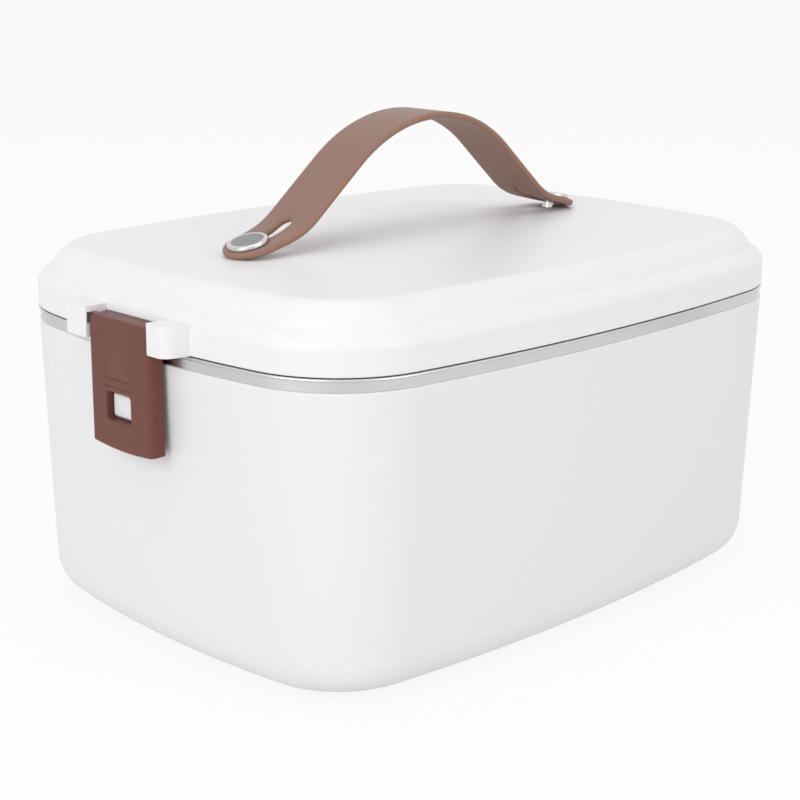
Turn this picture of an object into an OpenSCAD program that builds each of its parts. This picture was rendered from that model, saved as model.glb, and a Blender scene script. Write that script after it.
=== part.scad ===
// Electric lunch box: a heated housing with a lift-out steel container, a
// lift-off lid held down by a latch at each end, and a soft carrying strap.
// The origin is at the middle of the base, on the surface it stands on.
// X runs along the long side, Y across, and Z up.

/* [Housing] */
// Length of the housing at its top edge
body_l = 232; // [224:1:240]
// Width of the housing at its top edge
body_w = 174; // [168:1:182]
// Height of the housing, without its feet
body_h = 95; // [90:1:100]
// Radius of the slight bow in each end wall
end_bow_r = 355; // [300:5:480]
// Radius of the slight bow in each long wall
side_bow_r = 685; // [550:5:900]
// Radius of the upright corners
corner_r = 37; // [36:0.5:40]
// Inward lean of the walls from the top edge down to the base
wall_draw = 2.4; // [1.5:0.1:3.5]
// Radius of the rounding round the base
base_round_r = 13; // [10:0.5:13.5]
// Thickness of the housing wall
shell_t = 2.4; // [2:0.1:2.8]
// Radius of the housing's top outer edge
edge_r = 0.6; // [0.4:0.1:0.8]

/* [Base] */
// Thickness of the base cover
cover_t = 2.2; // [1.8:0.1:2.6]
// Height of the feet below the base
foot_h = 1.2; // [0.8:0.1:2]
// Radius of a foot
foot_r = 6; // [5:0.25:7]
// Distance of a foot's middle from the housing's end
foot_in_x = 34; // [32:1:40]
// Distance of a foot's middle from the housing's long side
foot_in_y = 35; // [32:1:40]
// Distance of a cover screw from the housing's end
post_in_x = 43; // [41:1:48]
// Distance of a cover screw from the housing's long side
post_in_y = 53; // [50:1:58]

/* [Container] */
// Width of the flat flange round the container's mouth
flange_w = 10.6; // [9.6:0.1:12]
// Height of the flange above the housing's top edge
flange_rise = 4; // [3.4:0.1:4.4]
// Inset of the steel skirt from the housing's outer edge
skirt_in = 1.4; // [1.1:0.1:1.8]
// Thickness of the steel sheet
sheet_t = 0.6; // [0.5:0.05:0.8]
// Inward lean of the container's wall over its depth
pot_draw = 5; // [3.5:0.25:6]
// Radius between the container's wall and floor
pot_round = 14; // [11:0.5:15]
// Radius between the container's wall and flange
mouth_r = 2.5; // [1.5:0.25:3]
// Radius of the rolled lip round the flange
lip_r = 0.5; // [0.3:0.05:0.7]
// Height of the container's floor above the base
pot_rise = 25; // [24:0.5:28]
// Travel of the container when it's lifted out
pot_lift = 77; // [70:1:90]

/* [Well] */
// Wall thickness of the heating well
well_t = 1.6; // [1.4:0.1:2]
// Gap between the container and the well
well_gap = 1; // [0.8:0.1:1.4]
// Radius of the screw posts under the well
post_r = 4; // [3.5:0.25:4.5]

/* [Lid] */
// Height of the lid's lower edge above the housing
lid_gap = 4.6; // [4.5:0.1:5.4]
// Height of the lid's upright band
band_h = 12; // [11:0.5:13]
// Radius of the band's upper edge
band_round = 5.2; // [4:0.2:5.6]
// Inset of the dome's foot from the band
dome_in = 4.7; // [4:0.1:6]
// Height of the dome's rounded side
dome_h = 8; // [6.5:0.25:9]
// Width of the dome's rounded side
dome_w = 7.6; // [6:0.2:9]
// Rise of the nearly flat top towards its middle
crown = 0.6; // [0.4:0.1:1.4]
// Wall thickness of the lid
lid_t = 2.2; // [1.8:0.1:2.4]
// Depth of the inner lid's pan below the flange
plug_d = 6; // [4:0.5:9]
// Wall thickness of the inner lid
pan_t = 1.6; // [1.3:0.1:1.9]
// Width of the lid's seal
seal_w = 4; // [3.2:0.2:4.4]

/* [Latches] */
// Width of a latch
latch_w = 29.6; // [27:0.2:31]
// Reach of a latch's front beyond the housing's end
latch_reach = 6.8; // [6.4:0.1:7.4]
// Height of the hinge above the lid's lower edge
pivot_rise = 4.2; // [4.1:0.1:4.6]
// Length of a latch below its hinge
latch_drop = 37.5; // [35:0.5:41]
// Thickness of a latch's front plate
plate_t = 3; // [2.6:0.1:3.2]
// Size of the softened upright edges of a latch's front
latch_soft = 1; // [0.5:0.1:1.4]
// Radius of the hinge barrel
barrel_r = 4; // [3.6:0.1:4]
// Radius of the hinge stubs
stub_r = 2; // [1.6:0.1:2.2]
// Width of the window
window_w = 12; // [11:0.2:14]
// Height of the window
window_h = 8.8; // [8:0.2:10]
// Drop from the hinge to the window's middle
window_drop = 24; // [21:0.2:25]
// Width of the ears beside a latch
ear_w = 11.2; // [8:0.2:12]
// Distance by which a catch stands into its window
catch_bite = 0.5; // [0.3:0.05:0.7]
// Opening angle of a latch
latch_angle = 110; // [100:1:120]
// Travel of the lid when it's lifted off
lid_lift = 110; // [90:1:140]

/* [Strap] */
// Width of the strap
strap_w = 19; // [17:0.5:22]
// Thickness of the strap
strap_t = 3; // [2.4:0.1:3.4]
// Rise of the arch's middle above the studs
strap_rise = 35.3; // [30:0.5:42]
// Radius of the arch's top
arch_r = 53; // [44:1:58]
// Slope of the arch's flanks in degrees
flank_a = 40.6; // [36:0.5:45]
// Radius of the turn at the foot of each flank
turn_r = 30; // [24:1:32]
// Slope of the strap's ends in degrees
end_a = 10; // [6:1:12]
// Spacing of the two studs
stud_span = 143.4; // [141:0.2:148]
// Width of the slot round a stud
slot_w = 5.2; // [4.8:0.1:6]
// Length of the slot between the centres of its round ends
slot_l = 15.5; // [12:0.5:20]
// Radius of a stud's head
head_r = 6.7; // [6:0.1:7.5]
// Thickness of a stud's head
head_t = 1.3; // [1:0.1:2]
// Radius of a stud's stem
stem_r = 2.1; // [2:0.05:2.25]

/* [Heater] */
// Radius of the heating plate's raised disc
disc_r = 48; // [44:0.5:50]
// Width of the plate's flange outside the disc
plate_flange = 7.5; // [6:0.5:8]
// Thickness of the plate's flange
flange_t = 2; // [1.6:0.1:2.4]
// Thickness of the ring between the plate and the well
ring_t = 0.8; // [0.6:0.1:1]
// Length of the heater block
heater_l = 70; // [60:1:76]
// Width of the heater block
heater_w = 34; // [28:1:36]
// Thickness of the heater block
heater_t = 5.6; // [5:0.1:6]
// Width of the heater's bracket
strip_w = 18; // [14:1:20]
// Thickness of the heater's bracket
strip_t = 0.8; // [0.8:0.1:1.2]
// Radius of the thermostat
thermo_r = 8; // [7:0.25:9]
// Height of the thermostat
thermo_h = 6; // [5:0.25:7]
// Radius of the thermal fuse
fuse_r = 2; // [1.5:0.1:2.2]
// Length of the thermal fuse
fuse_l = 11; // [9:0.5:13]
// Radius of an insulated lead
lead_r = 0.9; // [0.7:0.05:1]

/* [Inlet] */
// Height of the inlet's middle above the base
inlet_rise = 21.6; // [21.2:0.2:22.4]
// Spacing of the inlet's two pins
pin_span = 8.6; // [8.6:0.1:8.8]
// Radius of an inlet pin
pin_r = 1.2; // [1.15:0.01:1.25]
// Length of an inlet pin in front of the socket's floor
pin_l = 9.4; // [9:0.1:9.8]
// Width of the socket's mouth
socket_w = 16.8; // [16.4:0.1:17.2]
// Height of the socket's mouth
socket_h = 8.8; // [8.4:0.1:9.2]
// Depth of the socket
socket_d = 11; // [10.5:0.1:11.5]
// Radius of the indicator lens
lens_r = 2.5; // [2:0.1:3]
// Distance of the indicator from the inlet's middle
lens_span = 24; // [22:0.5:28]

/* [Hidden] */

white = [0.93, 0.93, 0.94];
pale = [0.85, 0.86, 0.87];
steel = [0.78, 0.79, 0.8];
brown = [0.49, 0.32, 0.29];
tan = [0.62, 0.49, 0.44];
dark = [0.15, 0.15, 0.16];

// Clearances and allowances
fit_gap = 0.2;
free_gap = 0.3;
pin_gap = 0.05;
cut = 1;
$fn = 48;

// Heights
base_z = foot_h;
top_z = base_z + body_h;
lid_z = top_z + lid_gap;
flange_z = top_z + flange_rise;
pot_z = base_z + pot_rise;
band_z = lid_z + band_h;
dome_z = band_z + dome_h;
apex_z = dome_z + crown;
pivot_z = lid_z + pivot_rise;

// ---------------------------------------------------------------- outlines

// Centres of the end bow, the side bow and the corner of the outline
bow_steps = 3;
corner_steps = 8;
end_c = [body_l / 2 - end_bow_r, 0];
side_c = [0, body_w / 2 - side_bow_r];
end_gap = end_bow_r - corner_r;
side_gap = side_bow_r - corner_r;
span = norm(end_c - side_c);
along = (side_gap ^ 2 - end_gap ^ 2 + span ^ 2) / (2 * span);
across = sqrt(side_gap ^ 2 - along ^ 2);
run = (end_c - side_c) / span;
corner_c = side_c + along * run + across * [run.y, -run.x];
end_turn = atan2(corner_c.y - end_c.y, corner_c.x - end_c.x);
side_turn = atan2(corner_c.y - side_c.y, corner_c.x - side_c.x);

function arc(c, r, a0, a1, steps) = [
    for (i = [0 : steps - 1]) let (a = a0 + (a1 - a0) * i / steps) c + r * [cos(a), sin(a)]
];

// One quarter of the bowed outline, drawn in from the housing's top edge
function quarter(inset) = concat(
    arc(end_c, end_bow_r - inset, 0, end_turn, bow_steps),
    arc(corner_c, corner_r - inset, end_turn, side_turn, corner_steps),
    arc(side_c, side_bow_r - inset, side_turn, 90, bow_steps)
);

function outline(inset) = let (
    q = quarter(inset),
    n = len(q),
    y = body_w / 2 - inset
) concat(
    q,
    [[0, y]],
    [for (i = [n - 1 : -1 : 1]) [-q[i].x, q[i].y]],
    [for (p = q) -p],
    [[0, -y]],
    [for (i = [n - 1 : -1 : 1]) [q[i].x, -q[i].y]]
);

// One level is [height, inset] or [height, inset, share of that outline]
function level_points(l) = [
    for (p = outline(l[1])) [p.x * (len(l) > 2 ? l[2] : 1), p.y * (len(l) > 2 ? l[2] : 1), l[0]]
];

function side_faces(n, m, closed) = [
    for (k = [0 : m - (closed ? 1 : 2)], i = [0 : n - 1])
        [k * n + i, ((k + 1) % m) * n + i, ((k + 1) % m) * n + (i + 1) % n, k * n + (i + 1) % n]
];

// Solid through a stack of levels, closed by its first and last one
module stack(levels) {
    n = len(level_points(levels[0]));
    m = len(levels);
    polyhedron(
        points = [for (l = levels) each level_points(l)],
        faces = concat(
            [[for (i = [0 : n - 1]) i]],
            [[for (i = [n - 1 : -1 : 0]) (m - 1) * n + i]],
            side_faces(n, m, false)
        )
    );
}

// Ring whose section is the closed loop of levels
module loop(levels) {
    polyhedron(
        points = [for (l = levels) each level_points(l)],
        faces = side_faces(len(level_points(levels[0])), len(levels), true)
    );
}

// Round stretch of a section: 0 points outwards, 90 up, 180 inwards
function bend(c, r, a0, a1, steps) = [
    for (i = [0 : steps]) let (a = a0 + (a1 - a0) * i / steps) [c[0] + r * sin(a), c[1] - r * cos(a)]
];

// Inset of the housing's outer face at a height
function wall_in(z) = wall_draw * (top_z - edge_r - z) / (body_h - edge_r - base_round_r);

// Distance of a bowed wall from the middle, at a distance from its centre line
function end_x(y, inset) = end_c.x + sqrt((end_bow_r - inset) ^ 2 - y ^ 2);
function side_y(x, inset) = side_c.y + sqrt((side_bow_r - inset) ^ 2 - x ^ 2);

module four(span_x, span_y) {
    for (sx = [-1, 1], sy = [-1, 1]) translate([sx * span_x / 2, sy * span_y / 2, 0]) children();
}

module both_ends() {
    children();
    mirror([1, 0, 0]) children();
}

// Cylinder along Y
module rod_y(r, y0, y1) {
    translate([0, y1, 0]) rotate([90, 0, 0]) cylinder(r = r, h = y1 - y0);
}

// Rounded rectangle with its middle at the origin
module rounded_2d(w, h, r) {
    square([w - 2 * r, h], center = true);
    square([w, h - 2 * r], center = true);
    for (sx = [-1, 1], sy = [-1, 1]) translate([sx * (w / 2 - r), sy * (h / 2 - r)]) circle(r = r);
}

// Pan-head screw with its head's seat at the origin, pointing up
module screw(shank_r, shank_l, screw_head_r, screw_head_h) {
    drive_r = screw_head_r * 0.45;
    difference() {
        union() {
            cylinder(r = shank_r, h = shank_l);
            translate([0, 0, -screw_head_h]) cylinder(r = screw_head_r, h = screw_head_h);
        }
        for (a = [0, 90])
            rotate([0, 0, a]) translate([0, 0, -screw_head_h])
                cube([2 * drive_r, screw_slot_w, screw_head_h], center = true);
    }
}

// ------------------------------------------------------------------ housing

// Base opening, closed by the cover from below
lap = 4.7;
ledge_t = 1.6;
foot_flat = 2.3;
rebate_in = wall_draw + base_round_r + foot_flat;
open_in = rebate_in + lap;
floor_z = base_z + cover_t + ledge_t;
inner_round = base_round_r - shell_t;
foot_span_x = body_l - 2 * foot_in_x;
foot_span_y = body_w - 2 * foot_in_y;
post_span_x = body_l - 2 * post_in_x;
post_span_y = body_w - 2 * post_in_y;

// Ledge inside the top edge, which carries the well's flange
ledge_w = 5;
ledge_h = 2;
ledge_slope = 3;

// Inlet and indicator on the hidden long side
inlet_recess = 0.5;
inlet_z = base_z + inlet_rise;
inlet_y = side_y(0, wall_in(inlet_z)) - inlet_recess;
inlet_cut_d = 9;
socket_wall = 1.5;
pin_wall = 2.2;
pin_tail = 3;
pin_root_r = pin_r + 0.4;
pin_tail_r = 0.9;
clip_lip = 1.6;
clip_gap = 0.4;
inlet_face_w = 26.6;
inlet_face_h = 15.2;
lip_w = inlet_face_w + 3;
lip_h = inlet_face_h + 2;
lip_y = side_y(lip_w / 2, wall_in(inlet_z - lip_h / 2) + shell_t) - clip_gap;
inlet_face_r = 3;
inlet_face_t = 2.2;
lens_y = side_y(lens_span, wall_in(inlet_z));

// Catch on each end wall, standing in the latch's window
window_z = pivot_z - window_drop;
window_low = window_z - window_h / 2;
latch_x = body_l / 2 + latch_reach;
plate_back = latch_x - plate_t;
catch_tip = plate_back + catch_bite;
catch_w = window_w - 0.8;
catch_low = window_low + free_gap;
catch_high = window_z + window_h / 2 - 0.5;
catch_slope = 0.6;
catch_round = 1.4;
catch_root = 3;
catch_chamfer = 1;

module catch_block() {
    slant_x = plate_back - 0.1;
    intersection() {
        rotate([90, 0, 0]) translate([0, 0, -catch_w / 2]) linear_extrude(catch_w) polygon([
            [end_x(0, 0) - catch_root, catch_low],
            [slant_x, catch_low],
            [catch_tip, catch_low + catch_slope * (catch_tip - slant_x)],
            [catch_tip, catch_high - catch_chamfer],
            [catch_tip - catch_chamfer, catch_high],
            [end_x(0, 0) - catch_root, catch_high]
        ]);
        translate([end_x(0, 0) - catch_root - cut, 0, (catch_low + catch_high) / 2])
            rotate([90, 0, 90]) linear_extrude(catch_tip)
                rounded_2d(catch_w, catch_high - catch_low, catch_round);
    }
}

module outer_housing() {
    color(white) difference() {
        union() {
            loop(concat(
                [[base_z, rebate_in]],
                bend([base_z + base_round_r, wall_draw + base_round_r], base_round_r, -90, 0, 4),
                bend([top_z - edge_r, edge_r], edge_r, 0, 90, 2),
                [
                    [top_z, ledge_w],
                    [top_z - ledge_h, ledge_w],
                    [top_z - ledge_h - ledge_slope, shell_t + wall_in(top_z - ledge_h - ledge_slope)]
                ],
                bend([floor_z + inner_round, wall_draw + shell_t + inner_round], inner_round, 0, -90, 3),
                [
                    [floor_z, open_in],
                    [base_z + cover_t, open_in],
                    [base_z + cover_t, rebate_in]
                ]
            ));
            both_ends() catch_block();
        }
        translate([0, body_w / 2, inlet_z]) rotate([90, 0, 0])
            linear_extrude(inlet_cut_d) rounded_2d(inlet_face_w, inlet_face_h, inlet_face_r);
        translate([lens_span, 0, inlet_z])
            rod_y(lens_r + fit_gap, lens_y - inlet_cut_d, body_w / 2);
    }
}

// --------------------------------------------------------------------- well

pot_in = skirt_in + flange_w;
pot_c = [pot_z + pot_round, pot_in + pot_draw + pot_round];
mouth_c = [flange_z - mouth_r, pot_in + sheet_t - mouth_r];
well_floor = pot_z - well_gap;
well_under = well_floor - well_t;
upstand_t = 1.6;
upstand_in = skirt_in + sheet_t + 0.5;
rest_z = flange_z - sheet_t - fit_gap;
plate_hole_r = disc_r + free_gap;
plate_top = pot_z - free_gap;

// Screws shared by the cover, the bracket and the plate
shank_r = 1.5;
pilot_r = shank_r + pin_gap;
pan_r = 2.8;
pan_h = 1.9;
screw_slot_w = 0.8;
cover_screw_l = 13;
bracket_screw_l = 7;
plate_screw_l = 4;

// Bosses on the cover take the cover screws' heads
boss_r = 4.6;
boss_rise = 4.6;
boss_z = base_z + cover_t + boss_rise;
boss_top_t = 2.4;
head_seat_z = boss_z - boss_top_t;

disc_low = well_under - ring_t;
flange_low = disc_low - flange_t;
heater_low = flange_low - pin_gap - heater_t;
strip_z = heater_low - pin_gap;
strip_post_x = disc_r + plate_flange + post_r + 2.5;

module heating_well() {
    color(pale) difference() {
        union() {
            stack(concat(
                bend(pot_c, pot_round + well_gap + well_t, -90, 0, 4),
                [
                    [top_z, pot_in - well_gap - well_t],
                    [top_z, upstand_in],
                    [rest_z, upstand_in],
                    [rest_z, upstand_in + upstand_t],
                    [top_z + well_t, upstand_in + upstand_t],
                    [top_z + well_t, pot_in - well_gap]
                ],
                bend(pot_c, pot_round + well_gap, 0, -90, 4)
            ));
            four(post_span_x, post_span_y) translate([0, 0, boss_z])
                cylinder(r = post_r, h = well_under + well_t / 2 - boss_z);
            for (sx = [-1, 1]) translate([sx * strip_post_x, 0, strip_z])
                cylinder(r = post_r, h = well_under + well_t / 2 - strip_z);
        }
        translate([0, 0, well_under - cut]) cylinder(r = plate_hole_r, h = well_t + 2 * cut, $fn = 96);
        four(post_span_x, post_span_y) translate([0, 0, boss_z - cut])
            cylinder(r = pilot_r, h = cover_screw_l - boss_top_t + 2 * cut);
        for (sx = [-1, 1]) translate([sx * strip_post_x, 0, strip_z - cut])
            cylinder(r = pilot_r, h = bracket_screw_l - strip_t + 2 * cut);
    }
}

// --------------------------------------------------------------------- base

foot_sink = 0.8;

module base_cover() {
    color(white) difference() {
        union() {
            stack([[base_z, rebate_in + fit_gap], [base_z + cover_t, rebate_in + fit_gap]]);
            four(post_span_x, post_span_y) translate([0, 0, base_z + cover_t / 2])
                cylinder(r = boss_r, h = boss_z - base_z - cover_t / 2);
        }
        four(post_span_x, post_span_y) {
            translate([0, 0, base_z - cut]) cylinder(r = pan_r + free_gap, h = head_seat_z - base_z + cut);
            translate([0, 0, base_z]) cylinder(r = shank_r + fit_gap, h = boss_z);
        }
        four(foot_span_x, foot_span_y) translate([0, 0, base_z - cut])
            cylinder(r = foot_r + fit_gap, h = foot_sink + cut);
    }
}

module cover_screws() {
    color(steel) four(post_span_x, post_span_y)
        translate([0, 0, head_seat_z]) screw(shank_r, cover_screw_l, pan_r, pan_h);
}

module rubber_feet() {
    chamfer = 0.5;
    color(dark) four(foot_span_x, foot_span_y) rotate_extrude() polygon([
        [0, 0],
        [foot_r - chamfer, 0],
        [foot_r, chamfer],
        [foot_r, base_z + foot_sink],
        [0, base_z + foot_sink]
    ]);
}

// ------------------------------------------------------------------- heater

thermo_y = 34;
thermo_hole = 11.9;
thermo_flange_w = 30;
thermo_flange_d = 8;
thermo_flange_t = 0.8;
thermo_z = flange_low - pin_gap;
tab_w = 4;
tab_t = 0.6;
tab_l = 6;
fuse_y = -32;
clip_w = 6;
clip_t = 0.6;
clip_arm = 9;
clip_hole_y = fuse_y - fuse_r - clip_t - 4;

module heating_plate() {
    color(steel) difference() {
        union() {
            translate([0, 0, flange_low]) cylinder(r = disc_r + plate_flange, h = flange_t, $fn = 96);
            translate([0, 0, disc_low - cut / 2])
                cylinder(r = disc_r, h = plate_top - disc_low + cut / 2, $fn = 96);
        }
        for (sx = [-1, 1]) translate([sx * thermo_hole, thermo_y, flange_low - cut])
            cylinder(r = pilot_r, h = plate_screw_l + cut);
        translate([0, clip_hole_y, flange_low - cut]) cylinder(r = pilot_r, h = plate_screw_l + cut);
    }
}

module plate_ring() {
    color([0.75, 0.35, 0.25]) translate([0, 0, disc_low]) difference() {
        cylinder(r = disc_r + plate_flange - 0.5, h = ring_t, $fn = 96);
        translate([0, 0, -cut]) cylinder(r = plate_hole_r, h = ring_t + 2 * cut, $fn = 96);
    }
}

heater_tab_y = 8;

module heater_block() {
    end_cap = 3;
    color(steel) translate([0, 0, heater_low + heater_t / 2]) {
        cube([heater_l - 2 * end_cap, heater_w, heater_t], center = true);
        for (sx = [-1, 1]) translate([sx * (heater_l - end_cap) / 2, 0, 0])
            cube([end_cap, heater_w - 3, heater_t - 0.8], center = true);
        for (sy = [-1, 1]) translate([heater_l / 2 + tab_l / 2 - 0.5, sy * heater_tab_y, 0])
            cube([tab_l, tab_w, tab_t], center = true);
    }
}

module heater_bracket() {
    end_r = 5;
    rib_w = 3;
    color(steel) difference() {
        union() {
            translate([0, 0, strip_z - strip_t / 2])
                cube([2 * strip_post_x, strip_w - 6, strip_t], center = true);
            translate([0, 0, strip_z - strip_t / 2]) cube([heater_l - 10, strip_w, strip_t], center = true);
            for (sy = [-1, 1]) translate([0, sy * (strip_w - 6 - rib_w) / 2, strip_z - strip_t - 1])
                cube([heater_l, strip_t, 2.4], center = true);
            for (sx = [-1, 1]) translate([sx * strip_post_x, 0, strip_z - strip_t])
                cylinder(r = end_r + 1, h = strip_t);
        }
        for (sx = [-1, 1]) translate([sx * strip_post_x, 0, strip_z - strip_t - cut])
            cylinder(r = shank_r + fit_gap, h = strip_t + 2 * cut);
    }
}

module bracket_screws() {
    color(steel) for (sx = [-1, 1]) translate([sx * strip_post_x, 0, strip_z - strip_t])
        screw(shank_r, bracket_screw_l, pan_r, pan_h);
}

module thermostat() {
    color([0.8, 0.78, 0.7]) difference() {
        union() {
            translate([-thermo_flange_w / 2, thermo_y - thermo_flange_d / 2, thermo_z - thermo_flange_t])
                cube([thermo_flange_w, thermo_flange_d, thermo_flange_t]);
            translate([0, thermo_y, thermo_z - thermo_h]) cylinder(r = thermo_r, h = thermo_h);
            for (sx = [-1, 1]) translate([sx * 4, thermo_y, thermo_z - thermo_h - tab_l / 2 + 0.5])
                cube([tab_t, tab_w, tab_l], center = true);
        }
        for (sx = [-1, 1]) translate([sx * thermo_hole, thermo_y, thermo_z - thermo_flange_t - cut])
            cylinder(r = shank_r + fit_gap, h = thermo_flange_t + 2 * cut);
    }
}

fuse_z = flange_low - pin_gap - clip_t - fuse_r;
fuse_tail = 4;

module thermal_fuse() {
    wire_r = 0.5;
    color([0.9, 0.88, 0.8]) translate([0, fuse_y, fuse_z]) rotate([0, 90, 0]) {
        translate([0, 0, -fuse_l / 2]) cylinder(r = fuse_r - pin_gap, h = fuse_l);
        translate([0, 0, -fuse_l / 2 - fuse_tail]) cylinder(r = wire_r, h = fuse_l + 2 * fuse_tail);
    }
}

// Steel clip that wraps the fuse and is screwed to the plate beside it
module fuse_clip() {
    color(steel) difference() {
        union() {
            translate([0, fuse_y, fuse_z]) rotate([0, 90, 0])
                translate([0, 0, -clip_w / 2]) cylinder(r = fuse_r + clip_t, h = clip_w);
            translate([-clip_w / 2, fuse_y - clip_arm, flange_low - pin_gap - clip_t])
                cube([clip_w, clip_arm, clip_t]);
        }
        translate([0, fuse_y, fuse_z]) rotate([0, 90, 0])
            translate([0, 0, -clip_w]) cylinder(r = fuse_r, h = 2 * clip_w);
        translate([0, clip_hole_y, flange_low - clip_t - cut])
            cylinder(r = shank_r + fit_gap, h = clip_t + 2 * cut);
    }
}

module plate_screws() {
    color(steel) {
        for (sx = [-1, 1]) translate([sx * thermo_hole, thermo_y, thermo_z - thermo_flange_t])
            screw(shank_r, plate_screw_l, pan_r, pan_h);
        translate([0, clip_hole_y, flange_low - pin_gap - clip_t])
            screw(shank_r, plate_screw_l, pan_r, pan_h);
    }
}

// Sideways direction of each ring, carried along the path without a twist
function carried(dirs, i, u) = i == len(dirs) ? [] : let (
    w = u - (u * dirs[i]) * dirs[i],
    v = w / norm(w)
) concat([v], carried(dirs, i + 1, v));

// Tube with flat ends through a list of points
module tube(path, r) {
    sides = 8;
    last = len(path) - 1;
    dirs = [
        for (i = [0 : last])
            let (d = path[min(i + 1, last)] - path[max(i - 1, 0)]) d / norm(d)
    ];
    us = carried(dirs, 0, abs(dirs[0].z) > 0.9 ? [1, 0, 0] : [0, 0, 1]);
    rings = [
        for (i = [0 : last])
            let (u = us[i], v = cross(dirs[i], u))
            [for (k = [0 : sides - 1]) path[i] + r * (cos(360 * k / sides) * u + sin(360 * k / sides) * v)]
    ];
    polyhedron(
        points = [for (ring = rings) each ring],
        faces = concat(
            [[for (k = [0 : sides - 1]) k]],
            [[for (k = [sides - 1 : -1 : 0]) last * sides + k]],
            [
                for (i = [0 : last - 1], k = [0 : sides - 1], half = [0, 1])
                    let (
                        p = i * sides + k,
                        q = i * sides + (k + 1) % sides
                    )
                    half == 0 ? [p, p + sides, q + sides] : [p, q + sides, q]
            ]
        )
    );
}

// Leads from the inlet through the fuse, the heater and the thermostat
lead_rise = 5.4;
lead_gap = 0.5;
lead_low = base_z + cover_t + lead_rise;
lead_end_z = inlet_z;
tab_end_x = heater_l / 2 + tab_l - 0.5 + free_gap;
tab_end_z = heater_low + heater_t / 2;
thermo_tab_z = thermo_z - thermo_h - tab_l + 0.5 - free_gap;
fuse_wire_x = fuse_l / 2 + fuse_tail + free_gap;
pin_end_y = inlet_y - socket_d - pin_wall - pin_tail - lead_gap;

module internal_leads() {
    hot = [
        [-pin_span / 2, pin_end_y, lead_end_z],
        [-pin_span / 2 - 2, pin_end_y - 6, lead_end_z - 4],
        [-26, 46, lead_low + 1],
        [-44, 24, lead_low],
        [-46, 0, lead_low - 1],
        [-38, -24, lead_low],
        [-22, fuse_y, fuse_z - 3],
        [-fuse_wire_x - 4, fuse_y, fuse_z],
        [-fuse_wire_x, fuse_y, fuse_z]
    ];
    to_heater = [
        [fuse_wire_x, fuse_y, fuse_z],
        [fuse_wire_x + 4, fuse_y, fuse_z - 1],
        [28, -30, lead_low + 2],
        [44, -24, lead_low + 3],
        [50, -14, tab_end_z - 2],
        [tab_end_x + 4, -heater_tab_y - 1, tab_end_z],
        [tab_end_x, -heater_tab_y, tab_end_z]
    ];
    to_thermostat = [
        [tab_end_x, heater_tab_y, tab_end_z],
        [tab_end_x + 4, heater_tab_y + 1, tab_end_z],
        [48, 16, lead_low + 4],
        [36, 26, lead_low],
        [20, thermo_y, lead_low - 1],
        [8, thermo_y, thermo_tab_z - 2.6],
        [4.6, thermo_y, thermo_tab_z - 2],
        [4, thermo_y, thermo_tab_z]
    ];
    back = [
        [-4, thermo_y, thermo_tab_z],
        [-4.6, thermo_y, thermo_tab_z - 2],
        [-6, thermo_y + 3, thermo_tab_z - 2.4],
        [-2, thermo_y + 12, lead_low],
        [3, pin_end_y - 8, lead_end_z - 5],
        [pin_span / 2, pin_end_y - 4, lead_end_z - 1],
        [pin_span / 2, pin_end_y, lead_end_z]
    ];
    color([0.7, 0.2, 0.18]) for (path = [hot, to_heater, to_thermostat, back]) tube(path, lead_r);
}

// -------------------------------------------------------------------- inlet

// A two-pin socket, sunk in the wall, with its flange behind the wall
module power_inlet() {
    color(dark) translate([0, 0, inlet_z]) difference() {
        union() {
            translate([0, inlet_y, 0]) rotate([90, 0, 0]) linear_extrude(inlet_y - lip_y + clip_lip)
                rounded_2d(inlet_face_w - 2 * fit_gap, inlet_face_h - 2 * fit_gap, inlet_face_r);
            translate([0, lip_y, 0]) rotate([90, 0, 0]) linear_extrude(clip_lip)
                rounded_2d(lip_w, lip_h, inlet_face_r);
            translate([0, inlet_y - inlet_face_t, 0]) rotate([90, 0, 0])
                linear_extrude(socket_d + pin_wall - inlet_face_t)
                    rounded_2d(socket_w + 2 * socket_wall, socket_h + 2 * socket_wall, socket_h / 2);
        }
        translate([0, inlet_y + cut, 0]) rotate([90, 0, 0]) linear_extrude(socket_d + cut)
            rounded_2d(socket_w, socket_h, socket_h / 2 - 0.1);
        for (sx = [-1, 1]) translate([sx * pin_span / 2, 0, 0])
            rod_y(pin_root_r + pin_gap, inlet_y - socket_d - pin_wall - cut, inlet_y);
    }
}

module inlet_pins() {
    color(steel) for (sx = [-1, 1]) translate([sx * pin_span / 2, 0, inlet_z]) {
        rod_y(pin_r, inlet_y - socket_d, inlet_y - socket_d + pin_l);
        rod_y(pin_root_r, inlet_y - socket_d - pin_wall, inlet_y - socket_d);
        rod_y(pin_tail_r, inlet_y - socket_d - pin_wall - pin_tail, inlet_y - socket_d - pin_wall);
    }
}

collar_r = lens_r + 1;
collar_y = side_y(lens_span + collar_r, wall_in(inlet_z - collar_r) + shell_t) - free_gap;
collar_t = 1.2;

module indicator_lens() {
    lens_sink = 0.3;
    color([0.8, 0.25, 0.15]) translate([lens_span, 0, inlet_z]) {
        rod_y(lens_r, collar_y - collar_t / 2, lens_y - lens_sink);
        rod_y(collar_r, collar_y - collar_t, collar_y);
    }
}

module indicator_lamp() {
    lamp_r = 1.8;
    lamp_l = 7;
    color([0.9, 0.7, 0.5]) translate([lens_span, 0, inlet_z])
        rod_y(lamp_r, collar_y - collar_t - fit_gap - lamp_l, collar_y - collar_t - fit_gap);
}

// ---------------------------------------------------------------- container

skirt_z = top_z + fit_gap;

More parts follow.
